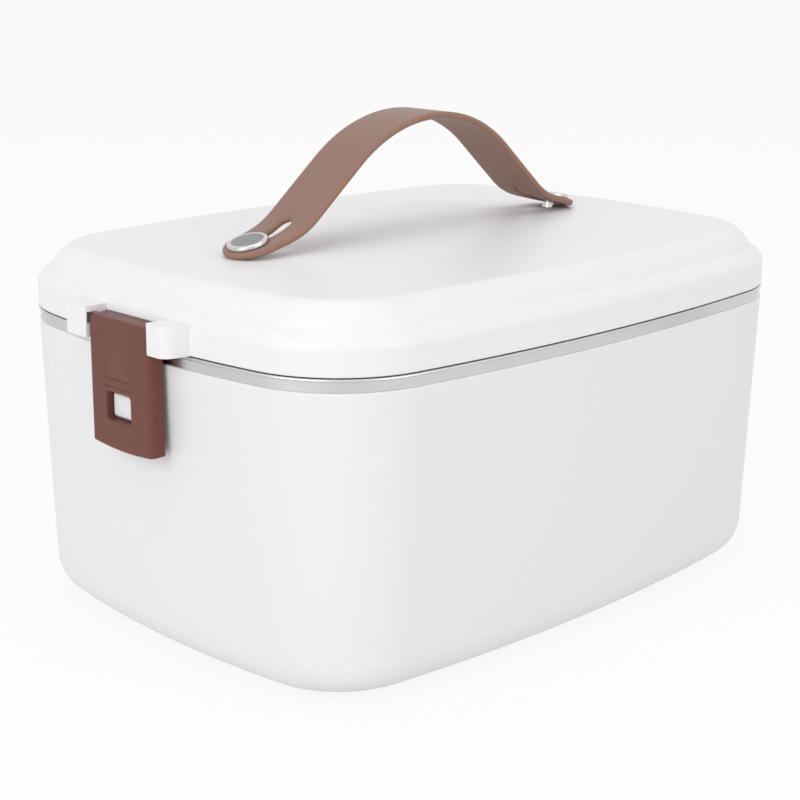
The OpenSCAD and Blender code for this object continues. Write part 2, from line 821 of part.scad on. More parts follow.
module steel_container() {
    color(steel) stack(concat(
        bend(pot_c, pot_round, -90, 0, 4),
        bend(mouth_c, mouth_r - sheet_t, 180, 90, 2),
        [
            [flange_z - sheet_t, skirt_in + sheet_t],
            [skirt_z, skirt_in + sheet_t],
            [skirt_z, skirt_in]
        ],
        bend([flange_z - lip_r, skirt_in], lip_r, -90, 90, 3),
        bend(mouth_c, mouth_r, 90, 180, 2),
        bend(pot_c, pot_round - sheet_t, 0, -90, 4)
    ));
}

// ---------------------------------------------------------------------- lid

dome_power = 1.5;
last_in = corner_r - 1;
band_turn = 76;
top_half = body_l / 2 - dome_in - dome_w;

// Height of the crowned top at a share of its half length
function crown_z(share) = apex_z - crown * share ^ 2;

ceiling_z = crown_z((body_l / 2 - last_in) / top_half) - lid_t;

function dome(a, inward) = [
    band_z - inward + dome_h * sin(a) ^ (2 / dome_power),
    dome_in + inward + dome_w * (1 - cos(a) ^ (2 / dome_power))
];

// Inner lid: a pan that reaches into the container, with a groove for the seal
under_z = flange_z + 2.4;
rib_z = flange_z + 1;
pan_z = flange_z - plug_d;
plug_in = pot_in + sheet_t + 1.6;
seal_in = skirt_in + sheet_t + 3;
rib_t = 1;
seal_side = 0.1;
pan_edge = lid_t + fit_gap;
pan_top = under_z + pan_t;
pan_r_out = 3;
ledge_rise = 1.6;

// Hinge pockets in the band, and the ears beside them
ear_in = latch_w / 2 + free_gap;
ear_front = latch_x;
ear_round = 2.4;
ear_top = pivot_z + barrel_r + 1;
pivot_x = latch_x - barrel_r;
pocket_r = barrel_r + 0.4;
pocket_x = pivot_x - pocket_r;
pocket_wall = 1.4;
stub_l = 3.2;

module ear() {
    ear_back = end_x(ear_in + ear_w, lid_t / 2);
    reach = ear_front - ear_back;
    intersection() {
        translate([ear_back, ear_in, lid_z]) linear_extrude(ear_top - lid_z) {
            square([reach, ear_w - ear_round]);
            square([reach - ear_round, ear_w]);
            translate([reach - ear_round, ear_w - ear_round]) circle(r = ear_round);
        }
        translate([ear_back, ear_in + ear_w + cut, lid_z]) rotate([90, 0, 0])
            linear_extrude(ear_w + 2 * cut) {
                square([reach, ear_top - lid_z - ear_round]);
                square([reach - ear_round, ear_top - lid_z]);
                translate([reach - ear_round, ear_top - lid_z - ear_round]) circle(r = ear_round);
            }
    }
}

module hinge_block() {
    translate([pocket_x - pocket_wall, -ear_in - pocket_wall, lid_z])
        cube([pocket_wall + 0.9, 2 * (ear_in + pocket_wall), ear_top - lid_z]);
}

// The pocket is round over the hinge barrel, so the band comes down close to it
module hinge_pocket() {
    steps = 12;
    translate([0, ear_in, 0]) rotate([90, 0, 0]) linear_extrude(2 * ear_in) polygon(concat(
        [[latch_x + cut, lid_z - cut], [latch_x + cut, pivot_z]],
        [
            for (i = [0 : steps])
                let (a = 180 * i / steps)
                [pivot_x + pocket_r * cos(a), pivot_z + pocket_r * sin(a)]
        ],
        [[pocket_x, lid_z - cut]]
    ));
    translate([pivot_x, 0, pivot_z])
        rod_y(stub_r + pin_gap, -ear_in - stub_l, ear_in + stub_l);
}

// Frame of a stud: the strap's centre line, with Z square to its sloping end
stud_x = stud_span / 2;
tip_gap = 0.35;
tip_back = 2.3;
tip_x = stud_x - tip_back + strap_w / 2;
tip_low_z = crown_z((tip_x - 2) / top_half) + tip_gap;
strap_z = tip_low_z + (tip_x - stud_x) * tan(end_a) + strap_t / 2 / cos(end_a);
seat_r = 5.4;
seat_n = strap_z - crown_z(stud_x / top_half) + lid_t + 1.4;
seat_h = 2.4;

module at_stud() {
    translate([stud_x, 0, strap_z]) rotate([0, end_a, 0]) children();
}

module lid_shell() {
    color(white) difference() {
        union() {
            stack(concat(
                [[ceiling_z, last_in]],
                [for (a = [90, 45, 0]) dome(a, lid_t)],
                [
                    [band_z - band_round, lid_t],
                    [pan_top + ledge_rise, lid_t],
                    [pan_top, lid_t + ledge_rise],
                    [pan_top, lid_t],
                    [lid_z, lid_t],
                    [lid_z, 0.5],
                    [lid_z + 0.5, 0]
                ],
                bend([band_z - band_round, band_round], band_round, 0, band_turn, 4),
                [for (a = [10, 28, 48, 68, 90]) dome(a, 0)],
                [
                    [crown_z((body_l / 2 - 24) / top_half), 24],
                    [crown_z((body_l / 2 - last_in) / top_half), last_in],
                    [crown_z((body_l / 2 - last_in) / top_half * 0.66), last_in, 0.66],
                    [crown_z((body_l / 2 - last_in) / top_half * 0.33), last_in, 0.33]
                ]
            ));
            both_ends() {
                hinge_block();
                ear();
                mirror([0, 1, 0]) ear();
                at_stud() translate([0, 0, -seat_n]) cylinder(r = seat_r, h = seat_h);
            }
        }
        both_ends() {
            hinge_pocket();
            at_stud() translate([0, 0, -seat_n - cut]) cylinder(r = stem_r + fit_gap, h = seat_n + cut);
        }
    }
}

module inner_lid() {
    color(pale) difference() {
        stack(concat(
            bend([pan_z + pan_r_out, plug_in + pan_r_out], pan_r_out, -90, 0, 2),
            [
                [under_z, plug_in],
                [under_z, seal_in + seal_w + rib_t],
                [rib_z, seal_in + seal_w + rib_t],
                [rib_z, seal_in + seal_w + seal_side],
                [under_z, seal_in + seal_w + seal_side],
                [under_z, seal_in - seal_side],
                [rib_z, seal_in - seal_side],
                [rib_z, seal_in - rib_t],
                [under_z, seal_in - rib_t],
                [under_z, pan_edge],
                [pan_top - fit_gap, pan_edge],
                [pan_top - fit_gap, plug_in + pan_t]
            ],
            bend([pan_z + pan_r_out, plug_in + pan_r_out], pan_r_out - pan_t, 0, -90, 2)
        ));
        both_ends() translate([pocket_x - pocket_wall - free_gap, -ear_in - pocket_wall - free_gap, rib_z - cut])
            cube([latch_x, 2 * (ear_in + pocket_wall + free_gap), pan_top]);
    }
}

module lid_seal() {
    seal_z = flange_z + free_gap;
    lip_h = 0.9;
    color(dark) loop([
        [under_z - 0.05, seal_in],
        [seal_z + lip_h, seal_in],
        [seal_z, seal_in + seal_w * 0.3],
        [seal_z, seal_in + seal_w * 0.7],
        [seal_z + lip_h, seal_in + seal_w],
        [under_z - 0.05, seal_in + seal_w]
    ]);
}

// -------------------------------------------------------------------- strap

// Centre line of one half of the strap in the XZ plane, from the middle out
arch_steps = 9;
turn_steps = 6;
arch_c = [0, strap_z + strap_rise - arch_r];
flank_n = [sin(flank_a), cos(flank_a)];
end_n = [sin(end_a), cos(end_a)];
flank_d = flank_n * (arch_c + arch_r * flank_n) + turn_r;
end_d = end_n * [stud_x, strap_z] + turn_r;
turn_den = flank_n.x * end_n.y - flank_n.y * end_n.x;
turn_c = [flank_d * end_n.y - end_d * flank_n.y, end_d * flank_n.x - flank_d * end_n.x] / turn_den;

// Half of the strap's upper or lower line, at a distance from its centre line
function half_line(off) = concat(
    [for (i = [0 : arch_steps]) let (a = flank_a * i / arch_steps) arch_c + (arch_r + off) * [sin(a), cos(a)]],
    [
        for (i = [0 : turn_steps])
            let (a = flank_a + (end_a - flank_a) * i / turn_steps) turn_c - (turn_r - off) * [sin(a), cos(a)]
    ],
    [[stud_x, strap_z] + (tip_x - stud_x) * [cos(end_a), -sin(end_a)] + off * end_n]
);

function mirrored(line) = [for (i = [len(line) - 1 : -1 : 1]) [-line[i].x, line[i].y]];

module handle_strap() {
    upper = half_line(strap_t / 2);
    lower = half_line(-strap_t / 2);
    round_x = tip_x - strap_w / 2;
    high = strap_z + strap_rise;
    color(tan) difference() {
        intersection() {
            translate([0, strap_w / 2, 0]) rotate([90, 0, 0]) linear_extrude(strap_w)
                polygon(concat(mirrored(upper), upper, [for (i = [len(lower) - 1 : -1 : 0]) lower[i]],
                    [for (i = [1 : len(lower) - 1]) [-lower[i].x, lower[i].y]]));
            translate([0, 0, dome_z - 10]) linear_extrude(high - dome_z + 20) {
                square([2 * round_x, strap_w + cut], center = true);
                for (sx = [-1, 1]) translate([sx * round_x, 0]) circle(r = strap_w / 2, $fn = 96);
            }
        }
        both_ends() translate([0, 0, dome_z - 10]) linear_extrude(strap_rise) {
            translate([stud_x - slot_l, -slot_w / 2]) square([slot_l, slot_w]);
            translate([stud_x, 0]) circle(r = slot_w / 2);
            translate([stud_x - slot_l, 0]) circle(r = slot_w / 2);
        }
    }
}

bevel = 0.5;
head_gap = 0.1;
stud_bore_l = 6;

module stud() {
    color(steel) at_stud() difference() {
        rotate_extrude() polygon([
            [0, -seat_n + 0.1],
            [stem_r, -seat_n + 0.1],
            [stem_r, strap_t / 2 + head_gap],
            [head_r, strap_t / 2 + head_gap],
            [head_r, strap_t / 2 + head_gap + head_t - bevel],
            [head_r - bevel, strap_t / 2 + head_gap + head_t],
            [0, strap_t / 2 + head_gap + head_t]
        ]);
        translate([0, 0, -seat_n - cut]) cylinder(r = pilot_r - 0.3, h = stud_bore_l + cut);
    }
}

module right_stud() {
    stud();
}

module left_stud() {
    mirror([1, 0, 0]) stud();
}

washer_t = 0.8;

module stud_washers() {
    color(steel) both_ends() at_stud() translate([0, 0, -seat_n - washer_t]) difference() {
        cylinder(r = seat_r - 0.4, h = washer_t);
        translate([0, 0, -cut]) cylinder(r = shank_r + fit_gap, h = washer_t + 2 * cut);
    }
}

module stud_screws() {
    color(steel) both_ends() at_stud() translate([0, 0, -seat_n - washer_t])
        screw(shank_r - 0.3, stud_bore_l, pan_r, pan_h);
}

// ------------------------------------------------------------------ latches

flange_x = body_l / 2 + 1;
side_t = 2.4;
sag = 0.9;
window_round = 1.4;
hood_w = window_w + 0.4;
hood_h = 3.8;
hood_step = 1.7;
hood_d = 0.5;
hood_low = window_z + window_h / 2 - 0.1;

// Side outline of a latch: its front, the barrel and the back of its flanges
latch_low = pivot_z - latch_drop;
barrel_end = 360 - acos((flange_x - pivot_x) / barrel_r);
barrel_steps = 16;
latch_side = concat(
    [[flange_x, latch_low], [latch_x, latch_low]],
    [
        for (i = [0 : barrel_steps])
            let (a = barrel_end * i / barrel_steps)
            [pivot_x + barrel_r * cos(a), pivot_z + barrel_r * sin(a)]
    ]
);

// Plan of a latch, which softens the upright edges of its front
soft_x = latch_x - latch_soft - cut;
soft_y = latch_w / 2 - latch_soft - cut;
latch_plan = [
    [pocket_x, -latch_w / 2 - cut],
    [soft_x, -latch_w / 2 - cut],
    [latch_x + cut, -soft_y],
    [latch_x + cut, soft_y],
    [soft_x, latch_w / 2 + cut],
    [pocket_x, latch_w / 2 + cut]
];

// Latch at the +X end, hanging from its hinge
module latch() {
    sag_r = ((latch_w / 2) ^ 2 + sag ^ 2) / (2 * sag);
    difference() {
        union() {
            intersection() {
                translate([0, latch_w / 2, 0]) rotate([90, 0, 0]) linear_extrude(latch_w)
                    polygon(latch_side);
                translate([flange_x - cut, 0, latch_low + sag_r]) rotate([0, 90, 0])
                    cylinder(r = sag_r, h = latch_x - flange_x + 2 * cut, $fn = 180);
                translate([0, 0, latch_low - cut]) linear_extrude(latch_drop + barrel_r + 2 * cut)
                    polygon(latch_plan);
            }
            translate([pivot_x, 0, pivot_z])
                rod_y(stub_r, -ear_in - stub_l + free_gap, ear_in + stub_l - free_gap);
        }
        // hollow back, open towards the housing
        translate([flange_x - cut, side_t - latch_w / 2, latch_low + side_t])
            cube([plate_back - flange_x + cut, latch_w - 2 * side_t, latch_drop - side_t - barrel_r - 1]);
        // window
        translate([plate_back - cut, 0, window_z]) rotate([90, 0, 90])
            linear_extrude(plate_t + 2 * cut) rounded_2d(window_w, window_h, window_round);
        // shallow recess in two steps above the window
        translate([0, hood_w / 2, 0]) rotate([90, 0, 0]) linear_extrude(hood_w) polygon([
            [latch_x + cut, hood_low],
            [latch_x - hood_d, hood_low],
            [latch_x - hood_d, hood_low + hood_step],
            [latch_x - hood_d / 2, hood_low + hood_step],
            [latch_x - hood_d / 2, hood_low + hood_h],
            [latch_x + cut, hood_low + hood_h]
        ]);
    }
}

module right_latch() {
    color(brown) latch();
}

module left_latch() {
    color(brown) mirror([1, 0, 0]) latch();
}

outer_housing();
heating_well();
base_cover();
cover_screws();
rubber_feet();
heating_plate();
plate_ring();
heater_block();
heater_bracket();
bracket_screws();
thermostat();
thermal_fuse();
fuse_clip();
plate_screws();
internal_leads();
power_inlet();
inlet_pins();
indicator_lens();
indicator_lamp();
steel_container();
lid_shell();
inner_lid();
lid_seal();
handle_strap();
left_stud();
right_stud();
stud_washers();
stud_screws();
left_latch();
right_latch();
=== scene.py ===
"""Visual model of an electric lunch box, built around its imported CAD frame.

Sizes are in millimetres in the part's own frame (X along the long side, Y across, Z up) and
are turned into metres as each mesh is finished.
"""

from __future__ import annotations

import logging
import math
from dataclasses import dataclass, field
from enum import Enum
from typing import Iterable, Sequence

import bmesh
import bpy
from bmesh.types import BMEdge, BMesh, BMFace, BMVert
from mathutils import Matrix, Vector


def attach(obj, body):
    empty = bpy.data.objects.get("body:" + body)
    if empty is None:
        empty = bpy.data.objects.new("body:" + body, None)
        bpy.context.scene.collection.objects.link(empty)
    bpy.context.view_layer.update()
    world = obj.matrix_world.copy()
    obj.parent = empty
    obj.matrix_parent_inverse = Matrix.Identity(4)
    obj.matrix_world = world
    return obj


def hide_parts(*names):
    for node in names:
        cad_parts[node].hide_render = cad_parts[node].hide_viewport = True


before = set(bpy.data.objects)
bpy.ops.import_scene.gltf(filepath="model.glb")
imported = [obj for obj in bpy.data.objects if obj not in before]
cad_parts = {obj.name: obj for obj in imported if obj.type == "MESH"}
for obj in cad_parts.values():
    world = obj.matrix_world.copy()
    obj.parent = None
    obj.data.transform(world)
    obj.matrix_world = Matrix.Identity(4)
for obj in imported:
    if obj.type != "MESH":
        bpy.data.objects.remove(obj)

log = logging.getLogger("lunch_box")

MM = 0.001
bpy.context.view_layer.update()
MERGE = 0.002  # vertices nearer than this are one
TOUCH = 0.01  # tolerance of a vertex on a plane
NEAR = 0.1  # tolerance of a vertex at a place
SHARP_ANGLE = 32.0  # degrees; edges above it are shaded sharp
CORNER_ANGLE = 57.3  # degrees; edges above it are corners of a shape
LONG_SPAN = 11.0  # stretches of a section are divided to about this length
HOLD = 0.35  # distance of a holding ring from the end of a stretch
PIVOT = (118.8, 105.0)  # X and Z of the right latch's hinge
WHITE_LIGHT = (1.0, 1.0, 1.0, 1.0)


class Body(Enum):
    """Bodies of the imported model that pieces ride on."""

    HOUSING = "housing"
    CONTAINER = "container"
    LID = "lid"
    LATCH_LEFT = "latch_left"
    LATCH_RIGHT = "latch_right"


class Slot(Enum):
    """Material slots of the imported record."""

    SHELL = "white_shell"
    WELL = "well_plastic"
    SCREW = "screw_steel"
    FOOT = "foot_rubber"
    PLATE = "plate_aluminium"
    RING = "ring_rubber"
    CERAMIC = "ceramic"
    LEAD = "lead_cover"
    INLET = "inlet_plastic"
    PIN = "pin_metal"
    LENS = "lens"
    CONTAINER = "container_steel"
    SEAL = "seal_rubber"
    STRAP = "strap_cover"
    STUD = "stud_steel"
    LATCH = "latch_plastic"


class End(Enum):
    """The two ends of the box along X."""

    LEFT = -1
    RIGHT = 1


# ------------------------------------------------------------------ shader maths


class Value:
    """A shader socket or number that takes part in Python arithmetic."""

    def __init__(self, graph: "Graph", socket: bpy.types.NodeSocket) -> None:
        """Keeps the graph that the socket belongs to."""
        self.graph = graph
        self.socket = socket

    def _math(self, operation: str, left: "Value | float", right: "Value | float") -> "Value":
        """Adds one Math node.

        Args:
            operation: the Math node's operation.
            left: first operand.
            right: second operand.

        Returns:
            The node's result.
        """
        return self.graph.node("ShaderNodeMath", {"operation": operation}, {0: left, 1: right})

    def __add__(self, other: "Value | float") -> "Value":
        """Sum."""
        return self._math("ADD", self, other)

    __radd__ = __add__

    def __sub__(self, other: "Value | float") -> "Value":
        """Difference."""
        return self._math("SUBTRACT", self, other)

    def __rsub__(self, other: "Value | float") -> "Value":
        """Difference with the number on the left."""
        return self._math("SUBTRACT", other, self)

    def __mul__(self, other: "Value | float") -> "Value":
        """Product."""
        return self._math("MULTIPLY", self, other)

    __rmul__ = __mul__

    def step(self, low: float, high: float) -> "Value":
        """Smooth step from 0 at low to 1 at high.

        Args:
            low: value that gives 0.
            high: value that gives 1.

        Returns:
            The stepped value.
        """
        settings = {"interpolation_type": "SMOOTHSTEP"}
        return self.graph.node("ShaderNodeMapRange", settings, {0: self, 1: low, 2: high})


Link = Value | float | tuple[float, ...]


class Graph:
    """One material's or world's node tree."""

    def __init__(self, tree: bpy.types.NodeTree) -> None:
        """Empties the tree."""
        self.tree = tree
        tree.nodes.clear()

    def node(self, kind: str, settings: dict[str, object], inputs: dict[int | str, Link],
             output: int | str = 0) -> Value:
        """Adds a node.

        Args:
            kind: the node's type.
            settings: attributes that are set before its sockets.
            inputs: values or links by socket name or number.
            output: the socket that is returned.

        Returns:
            The chosen output.
        """
        made = self.tree.nodes.new(kind)
        for key, value in settings.items():
            setattr(made, key, value)
        for key, value in inputs.items():
            if isinstance(value, Value):
                self.tree.links.new(value.socket, made.inputs[key])
            else:
                made.inputs[key].default_value = value
        return Value(self, made.outputs[output] if len(made.outputs) else None)

    def place(self) -> Value:
        """Position on the piece, in metres."""
        return self.node("ShaderNodeTexCoord", {}, {}, "Object")

    def surface(self) -> Value:
        """Position along the piece's own surface map."""
        return self.node("ShaderNodeTexCoord", {}, {}, "UV")

    def across(self) -> Value:
        """Second coordinate of the piece's own surface map."""
        return self.node("ShaderNodeSeparateXYZ", {}, {0: self.surface()}, "Y")

    def stretch(self, vector: Value, scale: tuple[float, float, float]) -> Value:
        """Scales a position by axis."""
        return self.node("ShaderNodeMapping", {}, {"Vector": vector, "Scale": scale})

    def noise(self, vector: Value, scale: float, detail: float = 2.0, rough: float = 0.5) -> Value:
        """Adds soft noise.

        Args:
            vector: position.
            scale: features in a metre.
            detail: number of octaves.
            rough: share of the finer octaves.

        Returns:
            Noise from 0 to 1.
        """
        inputs = {"Vector": vector, "Scale": scale, "Detail": detail, "Roughness": rough}
        return self.node("ShaderNodeTexNoise", {}, inputs)

    def cells(self, vector: Value, scale: float) -> Value:
        """Distance to the nearest of scattered points."""
        return self.node("ShaderNodeTexVoronoi", {}, {"Vector": vector, "Scale": scale})

    def edges(self, low: float, high: float) -> Value:
        """Mask of the outward edges of a piece.

        Args:
            low: pointiness that gives 0.
            high: pointiness that gives 1.

        Returns:
            The mask.
        """
        return self.node("ShaderNodeNewGeometry", {}, {}, "Pointiness").step(low, high)

    def mix(self, share: Link, first: Link, second: Link) -> Value:
        """Mixes two colours.

        Args:
            share: share of the second colour.
            first: first colour.
            second: second colour.

        Returns:
            The mixed colour.
        """
        return self.node("ShaderNodeMix", {"data_type": "RGBA"}, {0: share, 6: first, 7: second}, 2)

    def bump(self, height: Value, depth: float, strength: float = 1.0) -> Value:
        """Turns heights into a normal.

        Args:
            height: height from 0 to 1.
            depth: height of 1 in metres.
            strength: share of the effect.

        Returns:
            The normal.
        """
        inputs = {"Strength": strength, "Distance": depth, "Height": height}
        return self.node("ShaderNodeBump", {}, inputs)

    def solid(self, base: Value, rough: Value, normal: Value, **more: Link) -> Value:
        """Adds the shader of a solid surface.

        Args:
            base: its colour.
            rough: its roughness.
            normal: its normal.
            **more: further inputs, with underscores for the blanks in their names.

        Returns:
            The shader.
        """
        inputs = {"Base Color": base, "Roughness": rough, "Normal": normal}
        inputs.update({name.replace("_", " "): value for name, value in more.items()})
        return self.node("ShaderNodeBsdfPrincipled", {}, inputs)


Rgb = tuple[float, float, float]


def rgba(color: Rgb, factor: float = 1.0) -> tuple[float, ...]:
    """Colour times a number, with full alpha."""
    return (*(c * factor for c in color), 1.0)


# ---------------------------------------------------------------------- finishes


@dataclass(frozen=True)
class Finish:
    """A named surface finish."""

    name: str

    def material(self) -> bpy.types.Material:
        """Makes the finish's material, or returns it where it is made already.

        Returns:
            The material.
        """
        found = bpy.data.materials.get(self.name)
        if found is not None:
            return found
        made = bpy.data.materials.new(self.name)
        made.use_nodes = True
        graph = Graph(made.node_tree)
        shader = self.shade(graph)
        graph.node("ShaderNodeOutputMaterial", {}, {"Surface": shader})
        return made

    def shade(self, graph: Graph) -> Value:
        """Builds the shader; each finish has its own."""
        raise NotImplementedError


@dataclass(frozen=True)
class MouldedPlastic(Finish):
    """Injection-moulded plastic with a fine spark-eroded grain and lighter convex edges, partly rubbed wear
    and partly a painted highlight.
    """

    color: Rgb
    roughness: float = 0.42
    grain: float = 2600.0
    grain_depth: float = 0.000012
    cloud: float = 0.035
    # colour and share of the lighter convex edges: partly rubbed wear, partly a painted highlight
    rubbed_and_lit_color: Rgb = (0.9, 0.9, 0.9)
    rub_and_highlight_share: float = 0.2
    coat: float = 0.0
    specular: float = 0.5

    def shade(self, graph: Graph) -> Value:
        """Builds the shader.

        Args:
            graph: the material's tree.

        Returns:
            The shader.
        """
        here = graph.place()
        fine = graph.noise(here, self.grain, 3.0, 0.6)
        slow = graph.noise(here, 26.0, 3.0, 0.55)
        flow = graph.noise(graph.stretch(here, (1.0, 1.0, 0.25)), 160.0, 2.0)
        shift = slow * 0.7 + flow * 0.3
        low = rgba(self.color, 1.0 - self.cloud)
        high = rgba(self.color, 1.0 + self.cloud * 0.4)
        body = graph.mix(shift, low, high)
        # convex edges painted lighter: partly rubbed wear, partly a painted highlight
        rub_and_highlight_mask = graph.edges(0.515, 0.56) * graph.noise(here, 420.0, 2.0).step(0.35, 0.65)
        base = graph.mix(rub_and_highlight_mask * self.rub_and_highlight_share, body, rgba(self.rubbed_and_lit_color))
        rough = self.roughness + (fine - 0.5) * 0.10 + (slow - 0.5) * 0.12 - rub_and_highlight_mask * 0.08
        normal = graph.bump(fine * 0.8 + flow * 0.5, self.grain_depth)
        return graph.solid(base, rough, normal, Specular_IOR_Level=self.specular, Coat_Weight=self.coat)


@dataclass(frozen=True)
class SoftCover(Finish):
    """Soft matt strap material with a pebbled grain and warmer, lighter rims, a painted highlight along the
    rounded edges.

    The second coordinate of its surface map is the distance from the nearest rim.
    """

    color: Rgb
    rim_highlight_color: Rgb
    roughness: float = 0.55
    rim: float = 0.0008

    def shade(self, graph: Graph) -> Value:
        """Builds the shader.

        Args:
            graph: the material's tree.

        Returns:
            The shader.
        """
        here = graph.place()
        pebble = graph.cells(here, 1500.0)
        fine = graph.noise(here, 4200.0, 2.0, 0.6)
        slow = graph.noise(here, 38.0, 4.0, 0.6)
        speck = graph.noise(here, 900.0, 2.0).step(0.55, 0.7)
        body = graph.mix(slow, rgba(self.color, 0.93), rgba(self.color, 1.05))
        grained = graph.mix(speck * 0.25, body, rgba(self.color, 0.82))
        # painted highlight: the rims are tinted warmer and lighter along the rounded edges
        rim = (1.0 - graph.across().step(0.0, self.rim)) * (0.6 + 0.4 * slow)
        base = graph.mix(rim, grained, rgba(self.rim_highlight_color))
        rough = self.roughness + (slow - 0.5) * 0.14 + (fine - 0.5) * 0.1
        normal = graph.bump(pebble * 0.7 + fine * 0.5, 0.00003, 0.8)
        return graph.solid(base, rough, normal, Sheen_Weight=0.08)


@dataclass(frozen=True)
class BrushedSteel(Finish):
    """Brushed sheet metal whose lines follow the piece's surface map, with darker patches painted in as
    reflections.
    """

    color: Rgb = (0.66, 0.66, 0.67)
    roughness: float = 0.27
    lines: float = 5200.0
    length: float = 45.0
    depth: float = 0.0000035
    # share of the painted reflection: random patches darkened to stand in for darker reflections
    painted_reflection_share: float = 0.4

    def shade(self, graph: Graph) -> Value:
        """Builds the shader.

        Args:
            graph: the material's tree.

        Returns:
            The shader.
        """
        along = graph.surface()
        here = graph.place()
        brush = graph.noise(graph.stretch(along, (self.length, self.lines, 1.0)), 1.0, 4.0, 0.65)
        finer = graph.stretch(along, (self.length * 3.0, self.lines * 2.2, 1.0))
        scratch = graph.noise(finer, 1.0, 2.0)
        slow = graph.noise(here, 34.0, 3.0, 0.55)
        smudge = graph.noise(here, 75.0, 4.0, 0.6).step(0.45, 0.75)
        low = rgba(self.color, 0.86)
        high = rgba(self.color, 1.08)
        sheen = graph.mix(brush * 0.6 + slow * 0.4, low, high)
        # painted reflection: random patches are darkened towards 0.66 of the colour
        painted_reflection_patch = graph.noise(here, 13.0, 2.0).step(0.42, 0.66)
        base = graph.mix(painted_reflection_patch * self.painted_reflection_share, sheen, rgba(self.color, 0.66))
        rough = self.roughness + (brush - 0.5) * 0.16 + smudge * 0.07 + (scratch - 0.5) * 0.06
        return graph.solid(base, rough, graph.bump(brush * 0.7 + scratch * 0.3, self.depth), Metallic=1.0)


@dataclass(frozen=True)
class TurnedSteel(Finish):
    """Turned steel with a darker satin face inside a rim whose lighter colour is a painted highlight.

    The second coordinate of its surface map runs out from the middle of the face.
    """

    face: Rgb
    rim: Rgb
    face_from: float
    face_to: float

    def shade(self, graph: Graph) -> Value:
        """Builds the shader.

        Args:
            graph: the material's tree.

        Returns:
            The shader.
        """
        out = graph.across()
        inside = out.step(self.face_from, self.face_from + 0.0001)
        satin = inside * (1.0 - out.step(self.face_to, self.face_to + 0.0002))
        rings = graph.noise(graph.stretch(graph.surface(), (60.0, 4200.0, 1.0)), 1.0, 3.0, 0.6)
        slow = graph.noise(graph.place(), 140.0, 3.0, 0.55)
        # painted highlight: the rim is given a lighter colour than the face
        painted_rim_highlight = graph.mix(slow, rgba(self.rim, 0.9), rgba(self.rim, 1.06))
        dull = graph.mix(rings * 0.5 + slow * 0.5, rgba(self.face, 0.82), rgba(self.face, 1.18))
        rough = 0.16 + satin * 0.2 + (rings - 0.5) * 0.14
        return graph.solid(graph.mix(satin, painted_rim_highlight, dull), rough, graph.bump(rings, 0.000003), Metallic=1.0)


@dataclass(frozen=True)
class Rubber(Finish):
    """Matt rubber with a dusty bloom."""

    color: Rgb
    roughness: float = 0.72

    def shade(self, graph: Graph) -> Value:
        """Builds the shader.

        Args:
            graph: the material's tree.

        Returns:
            The shader.
        """
        here = graph.place()
        fine = graph.noise(here, 3000.0, 3.0)
        bloom = graph.noise(here, 90.0, 4.0, 0.6)
        base = graph.mix(bloom.step(0.4, 0.8) * 0.5, rgba(self.color), rgba(self.color, 1.45))
        return graph.solid(base, self.roughness + (bloom - 0.5) * 0.2, graph.bump(fine, 0.00002))


@dataclass(frozen=True)
class CastMetal(Finish):
    """Plain metal with turning marks, a faint tarnish and fine pits."""

    color: Rgb
    roughness: float = 0.35
    tarnish: Rgb = (0.35, 0.33, 0.3)

    def shade(self, graph: Graph) -> Value:
        """Builds the shader.

        Args:
            graph: the material's tree.

        Returns:
            The shader.
        """
        here = graph.place()
        fine = graph.noise(here, 2200.0, 3.0)
        slow = graph.noise(here, 70.0, 4.0, 0.6)
        base = graph.mix(slow.step(0.45, 0.85) * 0.35, rgba(self.color), rgba(self.tarnish))
        rough = self.roughness + (slow - 0.5) * 0.2 + (fine - 0.5) * 0.08
        return graph.solid(base, rough, graph.bump(fine, 0.000008), Metallic=1.0)


@dataclass(frozen=True)
class StudioFloor(Finish):
    """Pale floor that shows as white to the camera and keeps the shadow."""

    color: Rgb = (0.86, 0.86, 0.86)
    white_share: float = 0.88

    def shade(self, graph: Graph) -> Value:
        """Builds the shader.

        Args:
            graph: the material's tree.

        Returns:
            The shader.
        """
        slow = graph.noise(graph.place(), 3.0, 2.0)
        base = graph.mix(slow, rgba(self.color, 0.995), rgba(self.color))
        lit = graph.node("ShaderNodeBsdfDiffuse", {}, {"Color": base})
        glow = graph.node("ShaderNodeEmission", {}, {"Color": WHITE_LIGHT, "Strength": 1.0})
        share = seen_directly(graph) * self.white_share
        return graph.node("ShaderNodeMixShader", {}, {0: share, 1: lit, 2: glow})


def seen_directly(graph: Graph) -> Value:
    """Light path of the camera, of gloss or of glass.

    Args:
        graph: the tree.

    Returns:
        1 for such a path, otherwise 0.
    """
    total = graph.node("ShaderNodeLightPath", {}, {}, "Is Camera Ray")
    for name in ("Is Glossy Ray", "Is Transmission Ray"):
        total = total + graph.node("ShaderNodeLightPath", {}, {}, name)
    return total.step(0.0, 1.0)


